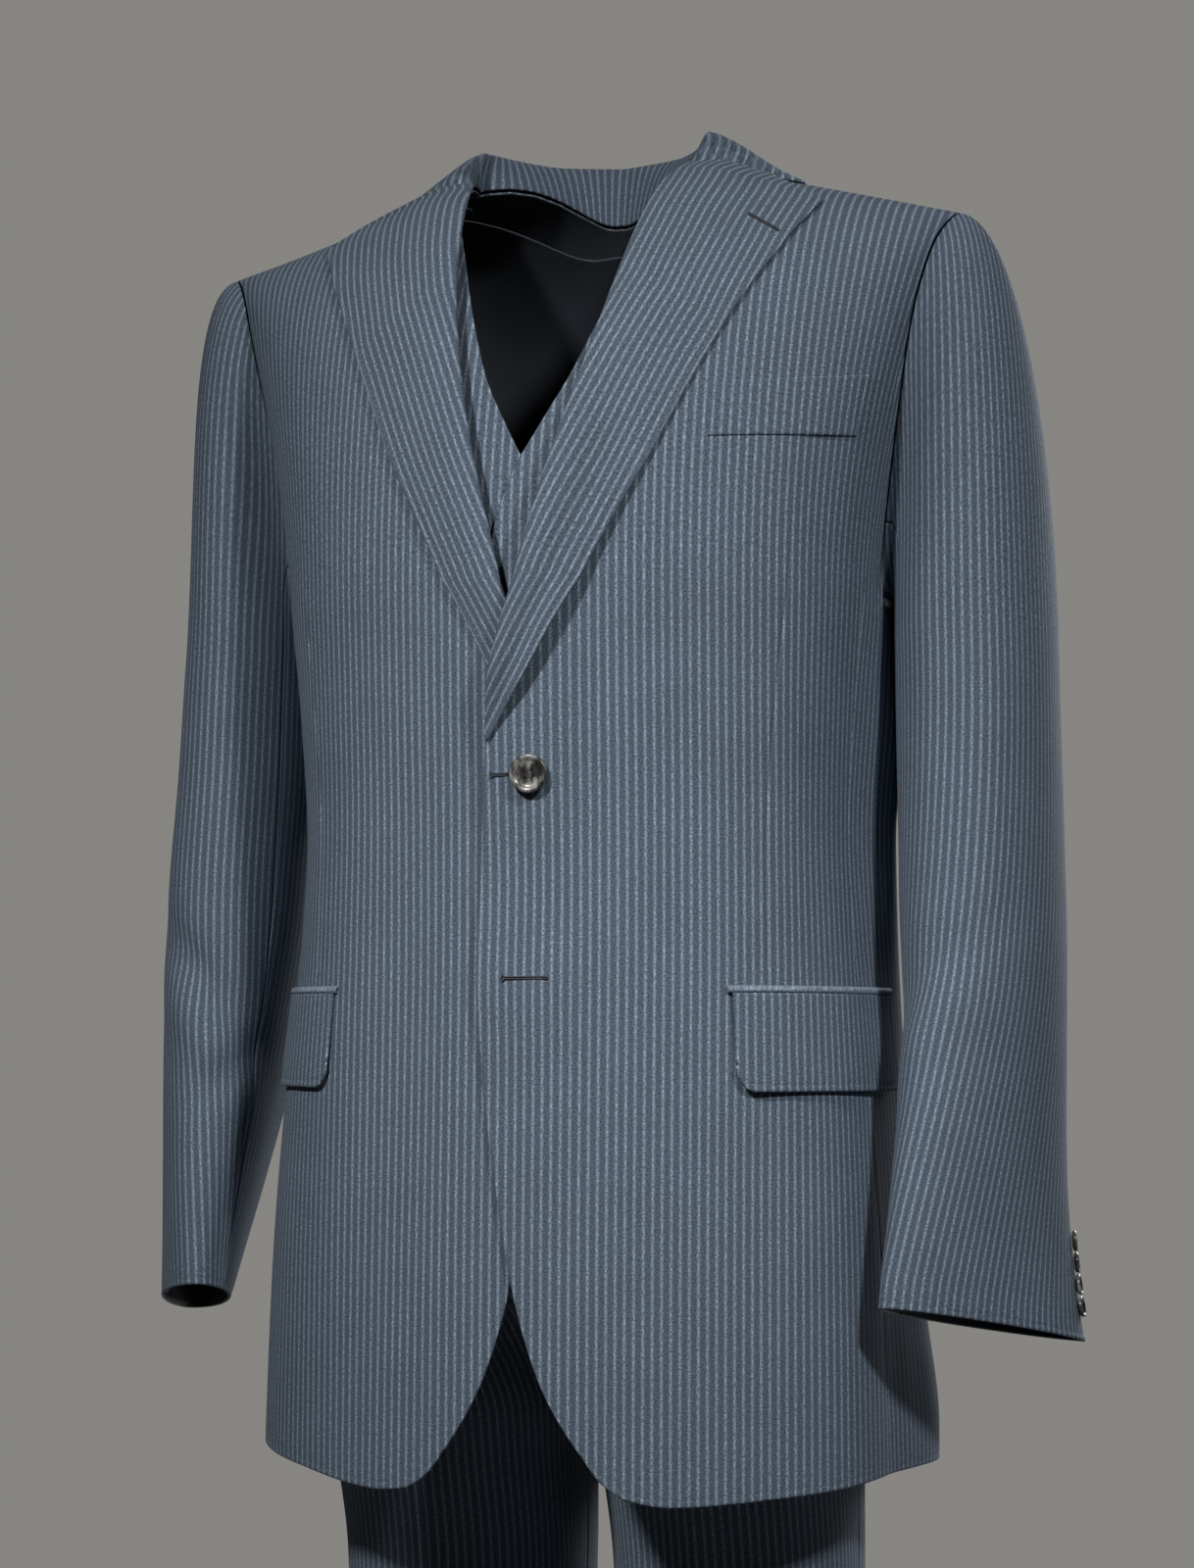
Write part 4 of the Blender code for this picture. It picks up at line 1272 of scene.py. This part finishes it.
SLEEVE_FOLDS = {
    # height, share of the length, width, turn, width, slant, turn without slant
    1: (
        (-0.0022, 0.66, 0.035, 100.0, 45.0, -0.0009, 100.0),
        (0.0018, 0.73, 0.040, 95.0, 45.0, -0.0009, 100.0),
        (0.0016, 0.45, 0.20, 62.0, 14.0, 0.0, 0.0),
        (-0.0016, 0.36, 0.16, 95.0, 14.0, 0.0, 0.0),
        (-0.0014, 0.40, 0.14, -70.0, 20.0, 0.0, 0.0),
    ),
    -1: (
        (-0.0045, 0.65, 0.030, 90.0, 40.0, -0.0012, 80.0),
        (0.0030, 0.72, 0.035, 90.0, 45.0, -0.0012, 80.0),
        (-0.0030, 0.78, 0.028, 110.0, 35.0, 0.0010, 100.0),
        (0.0018, 0.45, 0.18, 50.0, 16.0, 0.0, 0.0),
        (-0.0014, 0.40, 0.14, -70.0, 20.0, 0.0, 0.0),
    ),
}
SLEEVE_STEPS = 100
SLEEVE_GRAIN = 0.62
TOP_MIDDLE = 62.0
UNDER_MIDDLE = 212.0


def sleeve_panel(side, name, first_angle, last_angle, columns):
    def place(u, v):
        turn = mix(first_angle + 0.08, last_angle - 0.08, u)
        points = sleeve_point(v, turn, side)
        wrapped = (turn + 180.0) % 360.0 - 180.0
        high = folds(SLEEVE_FOLDS[side], v, wrapped) * ease(v, 0.0, 0.12) * ease(v, 1.0, 0.90)
        return points + grid_normals(points) * high[..., None]

    along = np.linspace(0.0, 1.0, SLEEVE_STEPS + 1)
    turns = np.arange(TURN_FROM, TURN_TO + 1.0, 1.0)
    run = run_lengths(sleeve_point(along[:, None], turns[None, :], side))
    middle = int((TOP_MIDDLE if first_angle < 0 else UNDER_MIDDLE) - TURN_FROM)
    run = run - run[:, middle:middle + 1]
    cx, cy, ca, cb = SLEEVES[side][0][1:]

    def grain_turn(turn, v):
        """In the cap the stripes run straight up from the tube below, in planes through a line inside it."""
        points = sleeve_point(np.minimum(v, CAP_SHARE), turn, side)
        dx, dy = points[..., 0] - (cx - GRAIN_IN), -(points[..., 1] - cy)
        p, q, r = dx * dx / ca**2 + dy * dy / cb**2, -GRAIN_IN * dx / ca**2, GRAIN_IN**2 / ca**2 - 1.0
        reach = (-q + np.sqrt(np.maximum(q * q - p * r, 0.0))) / p
        found = np.degrees(np.arctan2(reach * dy / cb, (reach * dx - GRAIN_IN) / ca))
        found = found + 360.0 * np.round((turn - found) / 360.0)
        return np.where(v >= CAP_SHARE, turn, found)

    def uv(u, v, points):
        turn = np.clip(grain_turn(mix(first_angle, last_angle, u), v), TURN_FROM, TURN_TO)
        return sampled(run, np.maximum(v, CAP_SHARE) * SLEEVE_STEPS, turn - TURN_FROM), -v * SLEEVE_GRAIN

    return shell(name, marks(columns, 0.2), marks(110, 0.62), place, uv, side=side, stitched=(3,))


# Pockets

def flap(side):
    word = WORDS[side]

    def shape(u, v):
        angle = mix(FLAP_FROM, FLAP_TO, u)
        inset = 1.0 - np.clip(u * FLAP_WIDE / FLAP_CORNER, 0.0, 1.0)
        corner = FLAP_CORNER * (1.0 - np.sqrt(np.maximum(0.0, 1.0 - inset * inset)))
        return angle, FLAP_TOP - (FLAP_DEEP - corner) * (1.0 - v)

    def place(u, v):
        angle, level = shape(u, v)
        flare = 0.0010 * (1.0 - v) ** 1.5 + 0.0006 * bump(u, 0.0, 0.15) * (1.0 - v)
        return on_body(angle, level, LAID_GAP + WOOL + flare)

    return shell("flap_" + word, marks(44, FLAP_WIDE), marks(16, FLAP_DEEP), place, straight(shape),
                 side=side, stitched=(0, 2))


def jet(side):
    word = WORDS[side]

    def place(u, v):
        angle = mix(FLAP_FROM - 1.0, FLAP_TO + 1.0, u)
        level = FLAP_TOP - JET_OVER + JET_HIGH * v
        round_over = np.sqrt(np.maximum(0.0, 1.0 - (2.0 * v - 1.0) ** 2))
        return on_body(angle, level, 0.0006 + 0.0024 * round_over)

    def uv(u, v, points):
        return v * 0.0016 + STRIPE_STARTS["jet"], u * JET_WIDE

    return shell("jet_" + word, marks(50, JET_WIDE), marks(8, JET_HIGH), place, uv, side=side,
                 thick=JET_THICK, looks=(wool, wool),
                 round_edges=(1, 1, 0, 0), allowance=JET_ALLOWANCE)


def breast_welt():
    def shape(u, v):
        return mix(WELT_FROM, WELT_TO, u), mix(mix(*WELT_LOW, u), mix(*WELT_HIGH, u), v)

    def place(u, v):
        angle, level = shape(u, v)
        return on_body(angle, level, 0.0002 + WOOL * 0.42)

    return shell("breast_welt", marks(40, 0.11), marks(12, 0.024), place,
                 straight(shape, STRIPE_STARTS["welt"]), stitched=(0, 1), looks=(wool, wool))


# Waistcoat

def vest_arm(level):
    share = np.clip((level - VEST_ARM_LOW) / -VEST_ARM_LOW, 0.0, 1.0)
    arm = mix(VEST_SIDE, VEST_SHOULDER, ease(share, 0.0, 0.55) ** 0.8)
    return np.where(level <= VEST_ARM_LOW, VEST_SIDE, arm)


def vest_front(side):
    def shape(u, v):
        level = mix(smooth(VEST_HEM, u, 1), VEST_TOP, v)
        inner = angle_of(smooth(VEST_EDGE, level, 1), level)
        return mix(inner, vest_arm(level) - VEST_SEAM_TURN, u), level

    def place(u, v):
        angle, level = shape(u, v)
        x = body(angle, level)[..., 0]
        lift = VEST_LIFT * (1.0 - ease(x, LIFT_TO, LIFT_FROM)) if side > 0 else 0.0 * x
        return on_body(angle, level, lift - VEST_IN)

    return shell("vest_front_" + WORDS[side], marks(30, 0.2), marks(80, 0.52), place,
                 straight(shape, STRIPE_STARTS["vest"], VEST_STRETCH), side=side, thick=LIGHT_WOOL,
                 stitched=(0, 1, 2))


def vest_back():
    def place(u, v):
        across = np.abs(u - 0.5) * 2.0
        top = mix(VEST_BACK_NECK, VEST_TOP, ease(across, 0.05, 0.45))
        level = mix(VEST_HEM[-1][1], top, v)
        side = np.where(u < 0.5, -1.0, 1.0)
        angle = 180.0 - (vest_arm(level) - VEST_SEAM_TURN) * across
        nape = NAPE_CLEAR * ease(level, -0.140, -0.060) * (1.0 - ease(across, 0.20, 0.50))
        return mirrored(on_body(angle, level, -VEST_IN - nape), side)

    def uv(u, v, points):
        return (u - 0.5) * 0.5, v * 0.44

    return shell("vest_back", marks(60, 0.45), marks(60, 0.44), place, uv, out=-1, thick=LIGHT_WOOL,
                 looks=(back_satin, dark_lining))


# Trousers

def trouser_point(turn, height):
    turn, height = matched(turn, height)
    half, ahead, behind = (smooth(TROUSER_ROWS, height, column) for column in (1, 2, 3))
    angle = turn * math.pi / 2
    s, c = np.sin(angle), np.cos(angle)
    depth = np.where(c >= 0, ahead, behind)
    seat = joined(half * np.abs(s) ** 0.9, -depth * np.copysign(np.abs(c) ** 0.9, c), height)
    inner, outer, middle, thick = (smooth(LEG_ROWS, height, column) for column in (1, 2, 3, 4))
    angle = (turn - 0.5) * math.pi
    across, ahead = np.sin(angle), np.cos(angle)
    wide = (outer - inner) / 2.0
    leg = joined((inner + outer) / 2.0 + wide * np.copysign(np.abs(across) ** 0.92, across),
                 middle - thick * np.copysign(np.abs(ahead) ** 0.92, ahead), height)
    share = ease(-height, -FORK_FROM, -FORK_TO)[..., None]
    return seat + (leg - seat) * share


KNEE_FOLDS = (
    # height, place, width, share of the round, width, slant, share without slant
    (-0.0016, -1.04, 0.030, 0.0, 0.22, -0.05, 0.0),
    (0.0012, -0.97, 0.030, 0.0, 0.25, 0.06, 0.0),
)
ANKLE_FOLDS = (
    # height, place, width, share of the round, width, slant, share without slant
    (0.0030, -1.385, 0.022, 0.0, 0.30, 0.02, 0.0),
    (-0.0040, -1.345, 0.020, 0.0, 0.34, 0.02, 0.0),
)
PRESSED = 0.0040
PRESSED_WIDE = 0.035
RUN_LOW = -1.46
RUN_ROWS = 100
RUN_COLUMNS = 200


def trouser_out(turn, height):
    return out_of(trouser_point, np.clip(turn, 0.03, 1.97), height, 0.02, 0.004)


def trouser_panel(side, name, first, last):
    middle = (first + last) / 2.0
    heights = np.linspace(RUN_LOW, WAIST_SEAM, RUN_ROWS + 1)
    turns = np.linspace(first, last, RUN_COLUMNS + 1)
    run = run_lengths(trouser_point(turns[None, :], heights[:, None]))
    run = run - run[:, RUN_COLUMNS // 2:RUN_COLUMNS // 2 + 1]

    def place(u, v):
        height = mix(LEG_ROWS[-1][0], WAIST_SEAM, v)
        turn = mix(first, last, u)
        points = trouser_point(turn, height)
        face = trouser_out(turn, height)
        flat = unit(face * (0.0, 1.0, 1.0))
        face = np.where((points[..., 0] < 0.003)[..., None], flat, face)
        crease = PRESSED * ease(height, -0.60, -0.80) * np.exp(-np.abs(turn - middle) / PRESSED_WIDE)
        ankle = folds(ANKLE_FOLDS, height, turn - middle) * (1.0 if first < 0.5 else 0.5)
        high = crease + folds(KNEE_FOLDS, height, turn - middle) + ankle
        return points + face * high[..., None]

    def uv(u, v, points):
        height = mix(LEG_ROWS[-1][0], WAIST_SEAM, v)
        row = (height - RUN_LOW) / (WAIST_SEAM - RUN_LOW) * RUN_ROWS
        return sampled(run, row, u * RUN_COLUMNS) + STRIPE_STARTS["leg"], height

    return shell(name, marks(40, 0.24, 0.5), marks(130, 1.01), place, uv, side=side, thick=LIGHT_WOOL,
                 settle=False)


def waistband():
    def place(u, v):
        turn = mix(BAND_GAP, 4.0 - BAND_GAP, u)
        side = np.where(turn < 2.0, 1.0, -1.0)
        turn = np.where(turn < 2.0, turn, 4.0 - turn)
        height = mix(WAIST_SEAM + 0.0002, WAIST_TOP, v)
        points = trouser_point(turn, height) + trouser_out(turn, height) * BAND_OUT
        return mirrored(points, side)

    def uv(u, v, points):
        return v * BAND_HIGH, u * BAND_LONG

    return shell("waistband", marks(120, BAND_LONG), marks(10, BAND_HIGH), place, uv, stitched=(3,),
                 settle=False)


# Buttons and buttonholes

def lathe(profile, sides):
    data = bmesh.new()
    ring = [data.verts.new((r, 0.0, h)) for r, h in profile]
    edges = [data.edges.new(pair) for pair in zip(ring, ring[1:])]
    bmesh.ops.spin(data, geom=ring + edges, cent=(0, 0, 0), axis=(0, 0, 1), angle=math.tau,
                   steps=sides, use_duplicate=False)
    bmesh.ops.remove_doubles(data, verts=data.verts, dist=0.000002)
    bmesh.ops.recalc_face_normals(data, faces=data.faces)
    return data


def button_mesh(name, radius, thick):
    """A four-hole button with a rounded rim and a dished middle, cut with a real boolean."""
    profile = (
        # share of the radius, share of the thickness
        (0.00, 0.02),
        (0.62, 0.00),
        (0.86, 0.14),
        (0.97, 0.36),
        (1.00, 0.58),
        (0.985, 0.80),
        (0.94, 0.95),
        (0.88, 1.00),
        (0.80, 0.98),
        (0.74, 0.88),
        (0.68, 0.74),
        (0.58, 0.66),
        (0.30, 0.62),
        (0.00, 0.62),
    )
    data = lathe([(radius * r, thick * h) for r, h in profile], 56)
    mesh = bpy.data.meshes.new(name)
    data.to_mesh(mesh)
    data.free()
    body_piece = put(name, mesh)
    cutter = bmesh.new()
    for sx in (-1, 1):
        for sy in (-1, 1):
            made = bmesh.ops.create_cone(cutter, cap_ends=True, segments=18, radius1=radius * SEWN_HOLE,
                                         radius2=radius * SEWN_HOLE, depth=thick * 3)
            offset = Vector((sx * radius * SEWN_HOLE_OUT, sy * radius * SEWN_HOLE_OUT, thick * 0.5))
            bmesh.ops.translate(cutter, verts=made["verts"], vec=offset)
    cut_mesh = bpy.data.meshes.new(name + "_cut")
    cutter.to_mesh(cut_mesh)
    cutter.free()
    cut_piece = put(name + "_cut", cut_mesh)
    cut = body_piece.modifiers.new("holes", "BOOLEAN")
    cut.object = cut_piece
    cut.operation = "DIFFERENCE"
    bpy.context.view_layer.update()
    depsgraph = bpy.context.evaluated_depsgraph_get()
    result = bpy.data.meshes.new_from_object(body_piece.evaluated_get(depsgraph))
    bpy.data.objects.remove(body_piece)
    bpy.data.objects.remove(cut_piece)
    result.name = name
    result.materials.clear()
    result.materials.append(horn)
    result.shade_smooth()
    result.set_sharp_from_angle(angle=math.radians(38))
    return result


def facing(out, roll=0.0):
    """Axes of a piece that faces out: across, up and out, turned by roll."""
    out = unit(np.asarray(out, float))
    across = unit(np.cross((0.0, 0.0, 1.0), out))
    up = np.cross(out, across)
    c, s = math.cos(roll), math.sin(roll)
    return across * c + up * s, up * c - across * s, out


def sewn_button(name, mesh, radius, thick, centre, out, roll=0.0):
    """A copy of a button, baked into place. The lines of the threads through its holes are returned."""
    frame_of = np.stack(facing(out, roll))
    made_mesh = mesh.copy()
    flat = np.empty(len(mesh.vertices) * 3, np.float32)
    mesh.vertices.foreach_get("co", flat)
    placed = settled(centre) + flat.reshape(-1, 3) @ frame_of
    made_mesh.vertices.foreach_set("co", placed.astype(np.float32).ravel())
    made_mesh.update()
    made = put(name + "_horn", made_mesh)
    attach(made, "root")
    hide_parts(name)
    hole = radius * SEWN_HOLE_OUT
    low = thick * 0.66 - 0.0006
    lines = []
    for sy in (-1, 1):
        for strand in (-1, 1):
            aside = sy * hole + strand * radius * 0.025
            start, end = np.array([-hole, aside, low]), np.array([hole, aside, low])
            middle = (start + end) / 2 + np.array([0, 0, 0.0009])
            curve = [mix(mix(start, middle, t), mix(middle, end, t), t) for t in np.linspace(0, 1, 7)]
            lines.append(centre + np.array(curve) @ frame_of)
    return lines


def tubes(name, lines, radius, material, closed=False):
    """Thin round threads along lines of points."""
    every, faces, start = [], [], 0
    sides = THREAD_SIDES
    turn = np.linspace(0.0, math.tau, sides, endpoint=False)
    for points in lines:
        count = len(points)
        if closed:
            ahead = np.roll(points, -1, axis=0) - np.roll(points, 1, axis=0)
        else:
            ahead = np.gradient(points, axis=0)
        ahead = unit(ahead)
        pick = np.where(np.abs(ahead[:, 2:3]) > 0.9, np.array([[1.0, 0, 0]]), np.array([[0, 0, 1.0]]))
        aside = unit(np.cross(ahead, pick))
        up = np.cross(aside, ahead)
        ring = aside[:, None, :] * np.cos(turn)[None, :, None] + up[:, None, :] * np.sin(turn)[None, :, None]
        every.append((points[:, None, :] + ring * radius).reshape(-1, 3))
        index = np.arange(count * sides).reshape(count, sides) + start
        for i in range(count if closed else count - 1):
            this, following = index[i], index[(i + 1) % count]
            for k in range(sides):
                k_next = (k + 1) % sides
                faces.append((this[k], this[k_next], following[k_next], following[k]))
        if not closed:
            for loop in (index[0], index[-1][::-1]):
                for k in range(1, sides - 1, 2):
                    faces.append((loop[0], loop[(k + 2) % sides], loop[k + 1], loop[k]))
        start += count * sides
    slots = np.zeros(len(faces))
    return link(name, np.concatenate(every), np.array(faces), slots, [material], None)


def buttonhole_line(centre, along, out, length, eye=LIP_GAP):
    """The outline of a worked buttonhole, with its eye at the back end."""
    along, out = unit(along), unit(out)
    aside = np.cross(out, along)
    half = length / 2.0
    flat = [(half * t, LIP_GAP) for t in np.linspace(-1, 1, 13)]
    for t in np.linspace(0, math.pi, 7)[1:-1]:
        flat.append((half + LIP_GAP * math.sin(t), LIP_GAP * math.cos(t)))
    flat += [(half * t, -LIP_GAP) for t in np.linspace(1, -1, 13)]
    for t in np.linspace(0, math.pi, 9)[1:-1]:
        flat.append((-half - eye * math.sin(t), -eye * math.cos(t)))
    flat = np.array(flat)
    return centre + flat[:, :1] * along + flat[:, 1:] * aside + out * LIP_LIFT


pieces = {}
for side in (1, -1):
    word = WORDS[side]
    pieces["front_" + word] = jacket_front(side)
    jacket_side(side)
    jacket_back(side)
    pieces["lapel_" + word] = jacket_lapel(side)
    sleeve_panel(side, "sleeve_top_" + word, BACK_SLEEVE_SEAM - 360.0, FRONT_SLEEVE_SEAM, 44)
    sleeve_panel(side, "sleeve_under_" + word, FRONT_SLEEVE_SEAM, BACK_SLEEVE_SEAM, 26)
    pieces["flap_" + word] = flap(side)
    jet(side)
    vest_front(side)
    trouser_panel(side, "trouser_front_" + word, 0.0008, 0.9992)
    trouser_panel(side, "trouser_back_" + word, 1.0008, 1.9992)
pieces["collar"] = jacket_collar()
pieces["breast_welt"] = breast_welt()
vest_back()
waistband()

# Edge stitches
EDGE_STITCHES = (
    # piece, edge, trimmed at the start, trimmed at the end
    ("front", 2, 0.003, 0.004),
    ("lapel", 1, 0.004, 0.004),
    ("lapel", 3, 0.046, 0.004),
    ("flap", 0, 0.004, 0.001),
    ("flap", 2, 0.004, 0.001),
)
edge_lines = []
for word in ("left", "right"):
    front = pieces["front_" + word]
    edge_lines.append(inset_line(front, 0, STITCH_INSET, 4, int(front["points"].shape[0] * 0.53)))
    for name, edge, start, end in EDGE_STITCHES:
        edge_lines.append(trimmed(inset_line(pieces[name + "_" + word], edge, STITCH_INSET), start, end))
edge_lines.append(trimmed(inset_line(pieces["collar"], 3, STITCH_INSET), 0.004, 0.004))
for edge in (0, 1):
    edge_lines.append(inset_line(pieces["breast_welt"], edge, STITCH_INSET * 0.7))
beads("edge_stitches", edge_lines, stitch_thread)

# Buttons
front_button = button_mesh("front_button_form", FRONT_BUTTON, FRONT_BUTTON_THICK)
cuff_button = button_mesh("cuff_button_form", CUFF_BUTTON, CUFF_BUTTON_THICK)
vest_button = button_mesh("vest_button_form", VEST_BUTTON, VEST_BUTTON_THICK)


def front_spot(x, level, lift):
    """Place and outward direction of a point on the fronts."""
    angle = angle_of(x, level)
    return on_body(angle, level, lift), body_out(angle, level)


spot, out = front_spot(*UPPER_BUTTON, overlap(*UPPER_BUTTON) + BUTTON_SHANK)
button_threads = sewn_button("button_upper", front_button, FRONT_BUTTON, FRONT_BUTTON_THICK, spot, out, 0.2)
spot, out = front_spot(*LOWER_BUTTON, BUTTON_LAID)
button_threads += sewn_button("button_lower", front_button, FRONT_BUTTON, LOWER_BUTTON_THICK, spot, out, 0.1)
for i in range(5):
    spot, out = front_spot(0.0, VEST_BUTTON_TOP - VEST_BUTTON_STEP * i, VEST_LIFT - VEST_IN + BUTTON_LAID)
    button_threads += sewn_button("vest_button_%d" % (i + 1), vest_button, VEST_BUTTON, VEST_BUTTON_THICK,
                                  spot, out)
sleeve_length = (TUBE_FROM - TUBE_TO) / (1.0 - CAP_SHARE)
cuff_turn = BACK_SLEEVE_SEAM + CUFF_BUTTON_ANGLE
for side in (1, -1):
    def near(a, b):
        return sleeve_point(b, a, side)

    for i in range(4):
        along = 1.0 - (CUFF_BUTTON_LOW + CUFF_BUTTON_STEP * i) / sleeve_length
        out = out_of(near, cuff_turn, along, 2.0, -0.010) * -1.0
        spot = (near(cuff_turn, along) + out * BUTTON_LAID) * (side, 1, 1)
        button_threads += sewn_button("cuff_button_%s_%d" % (WORDS[side], i + 1), cuff_button, CUFF_BUTTON,
                                      CUFF_BUTTON_THICK, spot, out * (side, 1, 1))
tubes("button_threads", button_threads, THREAD, thread)

# Buttonholes
holes = []
for x, level, length in FRONT_HOLES:
    centre, out = front_spot(x, level, overlap(x, level))
    ahead = front_spot(x + 0.01, level, overlap(x + 0.01, level))[0] - centre
    holes.append(buttonhole_line(centre, ahead, out, length, HOLE_EYE))
lapel_form = lapel_place(1)
first, last = (lapel_form(np.array(u), np.array(v)) for u, v in LAPEL_HOLE)
aside = lapel_form(np.array(LAPEL_HOLE[0][0]), np.array(LAPEL_HOLE[0][1] - 0.03)) - first
outward = unit(np.cross(last - first, aside))
outward = outward if outward[1] < 0.0 else -outward
holes.append(buttonhole_line((first + last) / 2.0 + outward * 0.0004, first - last, outward, LAPEL_HOLE_LONG))
tubes("buttonhole_lips", holes, LIP_THREAD, thread, closed=True)


# Stage, light and camera

AMBIENT = 0.05
LIGHTS = (
    # name, place, target, size, power, colour, spread
    ("key", (-0.65, -2.53, 1.50), (0.05, -0.10, -0.46), 0.32, 2.5, (1.0, 0.985, 0.96), 28.0),
    ("second", (1.93, -1.72, 1.50), (0.05, -0.05, -0.54), 0.32, 2.45, (1.0, 0.99, 0.97), 36.0),
    ("rear", (0.9, 3.2, 0.7), (0.0, 0.0, -0.7), 1.6, 75.0, (0.97, 0.98, 1.0), 180.0),
)

floor_mesh = bpy.data.meshes.new("floor")
floor_data = bmesh.new()
bmesh.ops.create_circle(floor_data, cap_ends=True, radius=3.2, segments=96)
floor_data.to_mesh(floor_mesh)
floor_data.free()
floor = put("floor", floor_mesh)
floor.location = (0.0, 0.0, FLOOR)
floor_mesh.materials.append(floor_material("pale_floor", (0.62, 0.61, 0.59), 0.02))

world = bpy.data.worlds.new("backdrop")
bpy.context.scene.world = world
world.use_nodes = True
sky = world.node_tree
background = sky.nodes["Background"]
background.inputs[0].default_value = (0.242, 0.236, 0.222, 1.0)
rays = node(sky, "ShaderNodeLightPath")
sky.links.new(ranged(sky, rays.outputs["Is Camera Ray"], 0.0, 1.0, AMBIENT, 1.0), background.inputs[1])

for name, place, target, size, power, colour, spread in LIGHTS:
    light = bpy.data.lights.new(name, "AREA")
    light.shape = "DISK"
    light.size = size
    light.energy = power
    light.color = colour
    light.spread = math.radians(spread)
    lamp = put(name, light)
    lamp.location = place
    lamp.rotation_mode = "QUATERNION"
    lamp.rotation_quaternion = (Vector(target) - Vector(place)).to_track_quat("-Z", "Y")

CAMERA_PLACE = (0.5994, -1.9388, -0.5095)
CAMERA_TURN = 17.027
CAMERA_PITCH = 2.029
FOCUS = 3564.6
SHIFT = 150.0
FRAME_HIGH = 1600.0
SENSOR = 36.0
camera_data = bpy.data.cameras.new("camera")
camera_data.sensor_fit = "AUTO"
camera_data.sensor_width = SENSOR
camera_data.lens = SENSOR * FOCUS / FRAME_HIGH
camera_data.shift_y = SHIFT / FRAME_HIGH
camera = put("camera", camera_data)
camera.location = CAMERA_PLACE
turn, pitch = math.radians(CAMERA_TURN), math.radians(CAMERA_PITCH)
look = Vector((-math.sin(turn) * math.cos(pitch), math.cos(turn) * math.cos(pitch), math.sin(pitch)))
camera.rotation_mode = "QUATERNION"
camera.rotation_quaternion = look.to_track_quat("-Z", "Y")
bpy.context.scene.camera = camera
bpy.context.scene.view_settings.view_transform = "Standard"
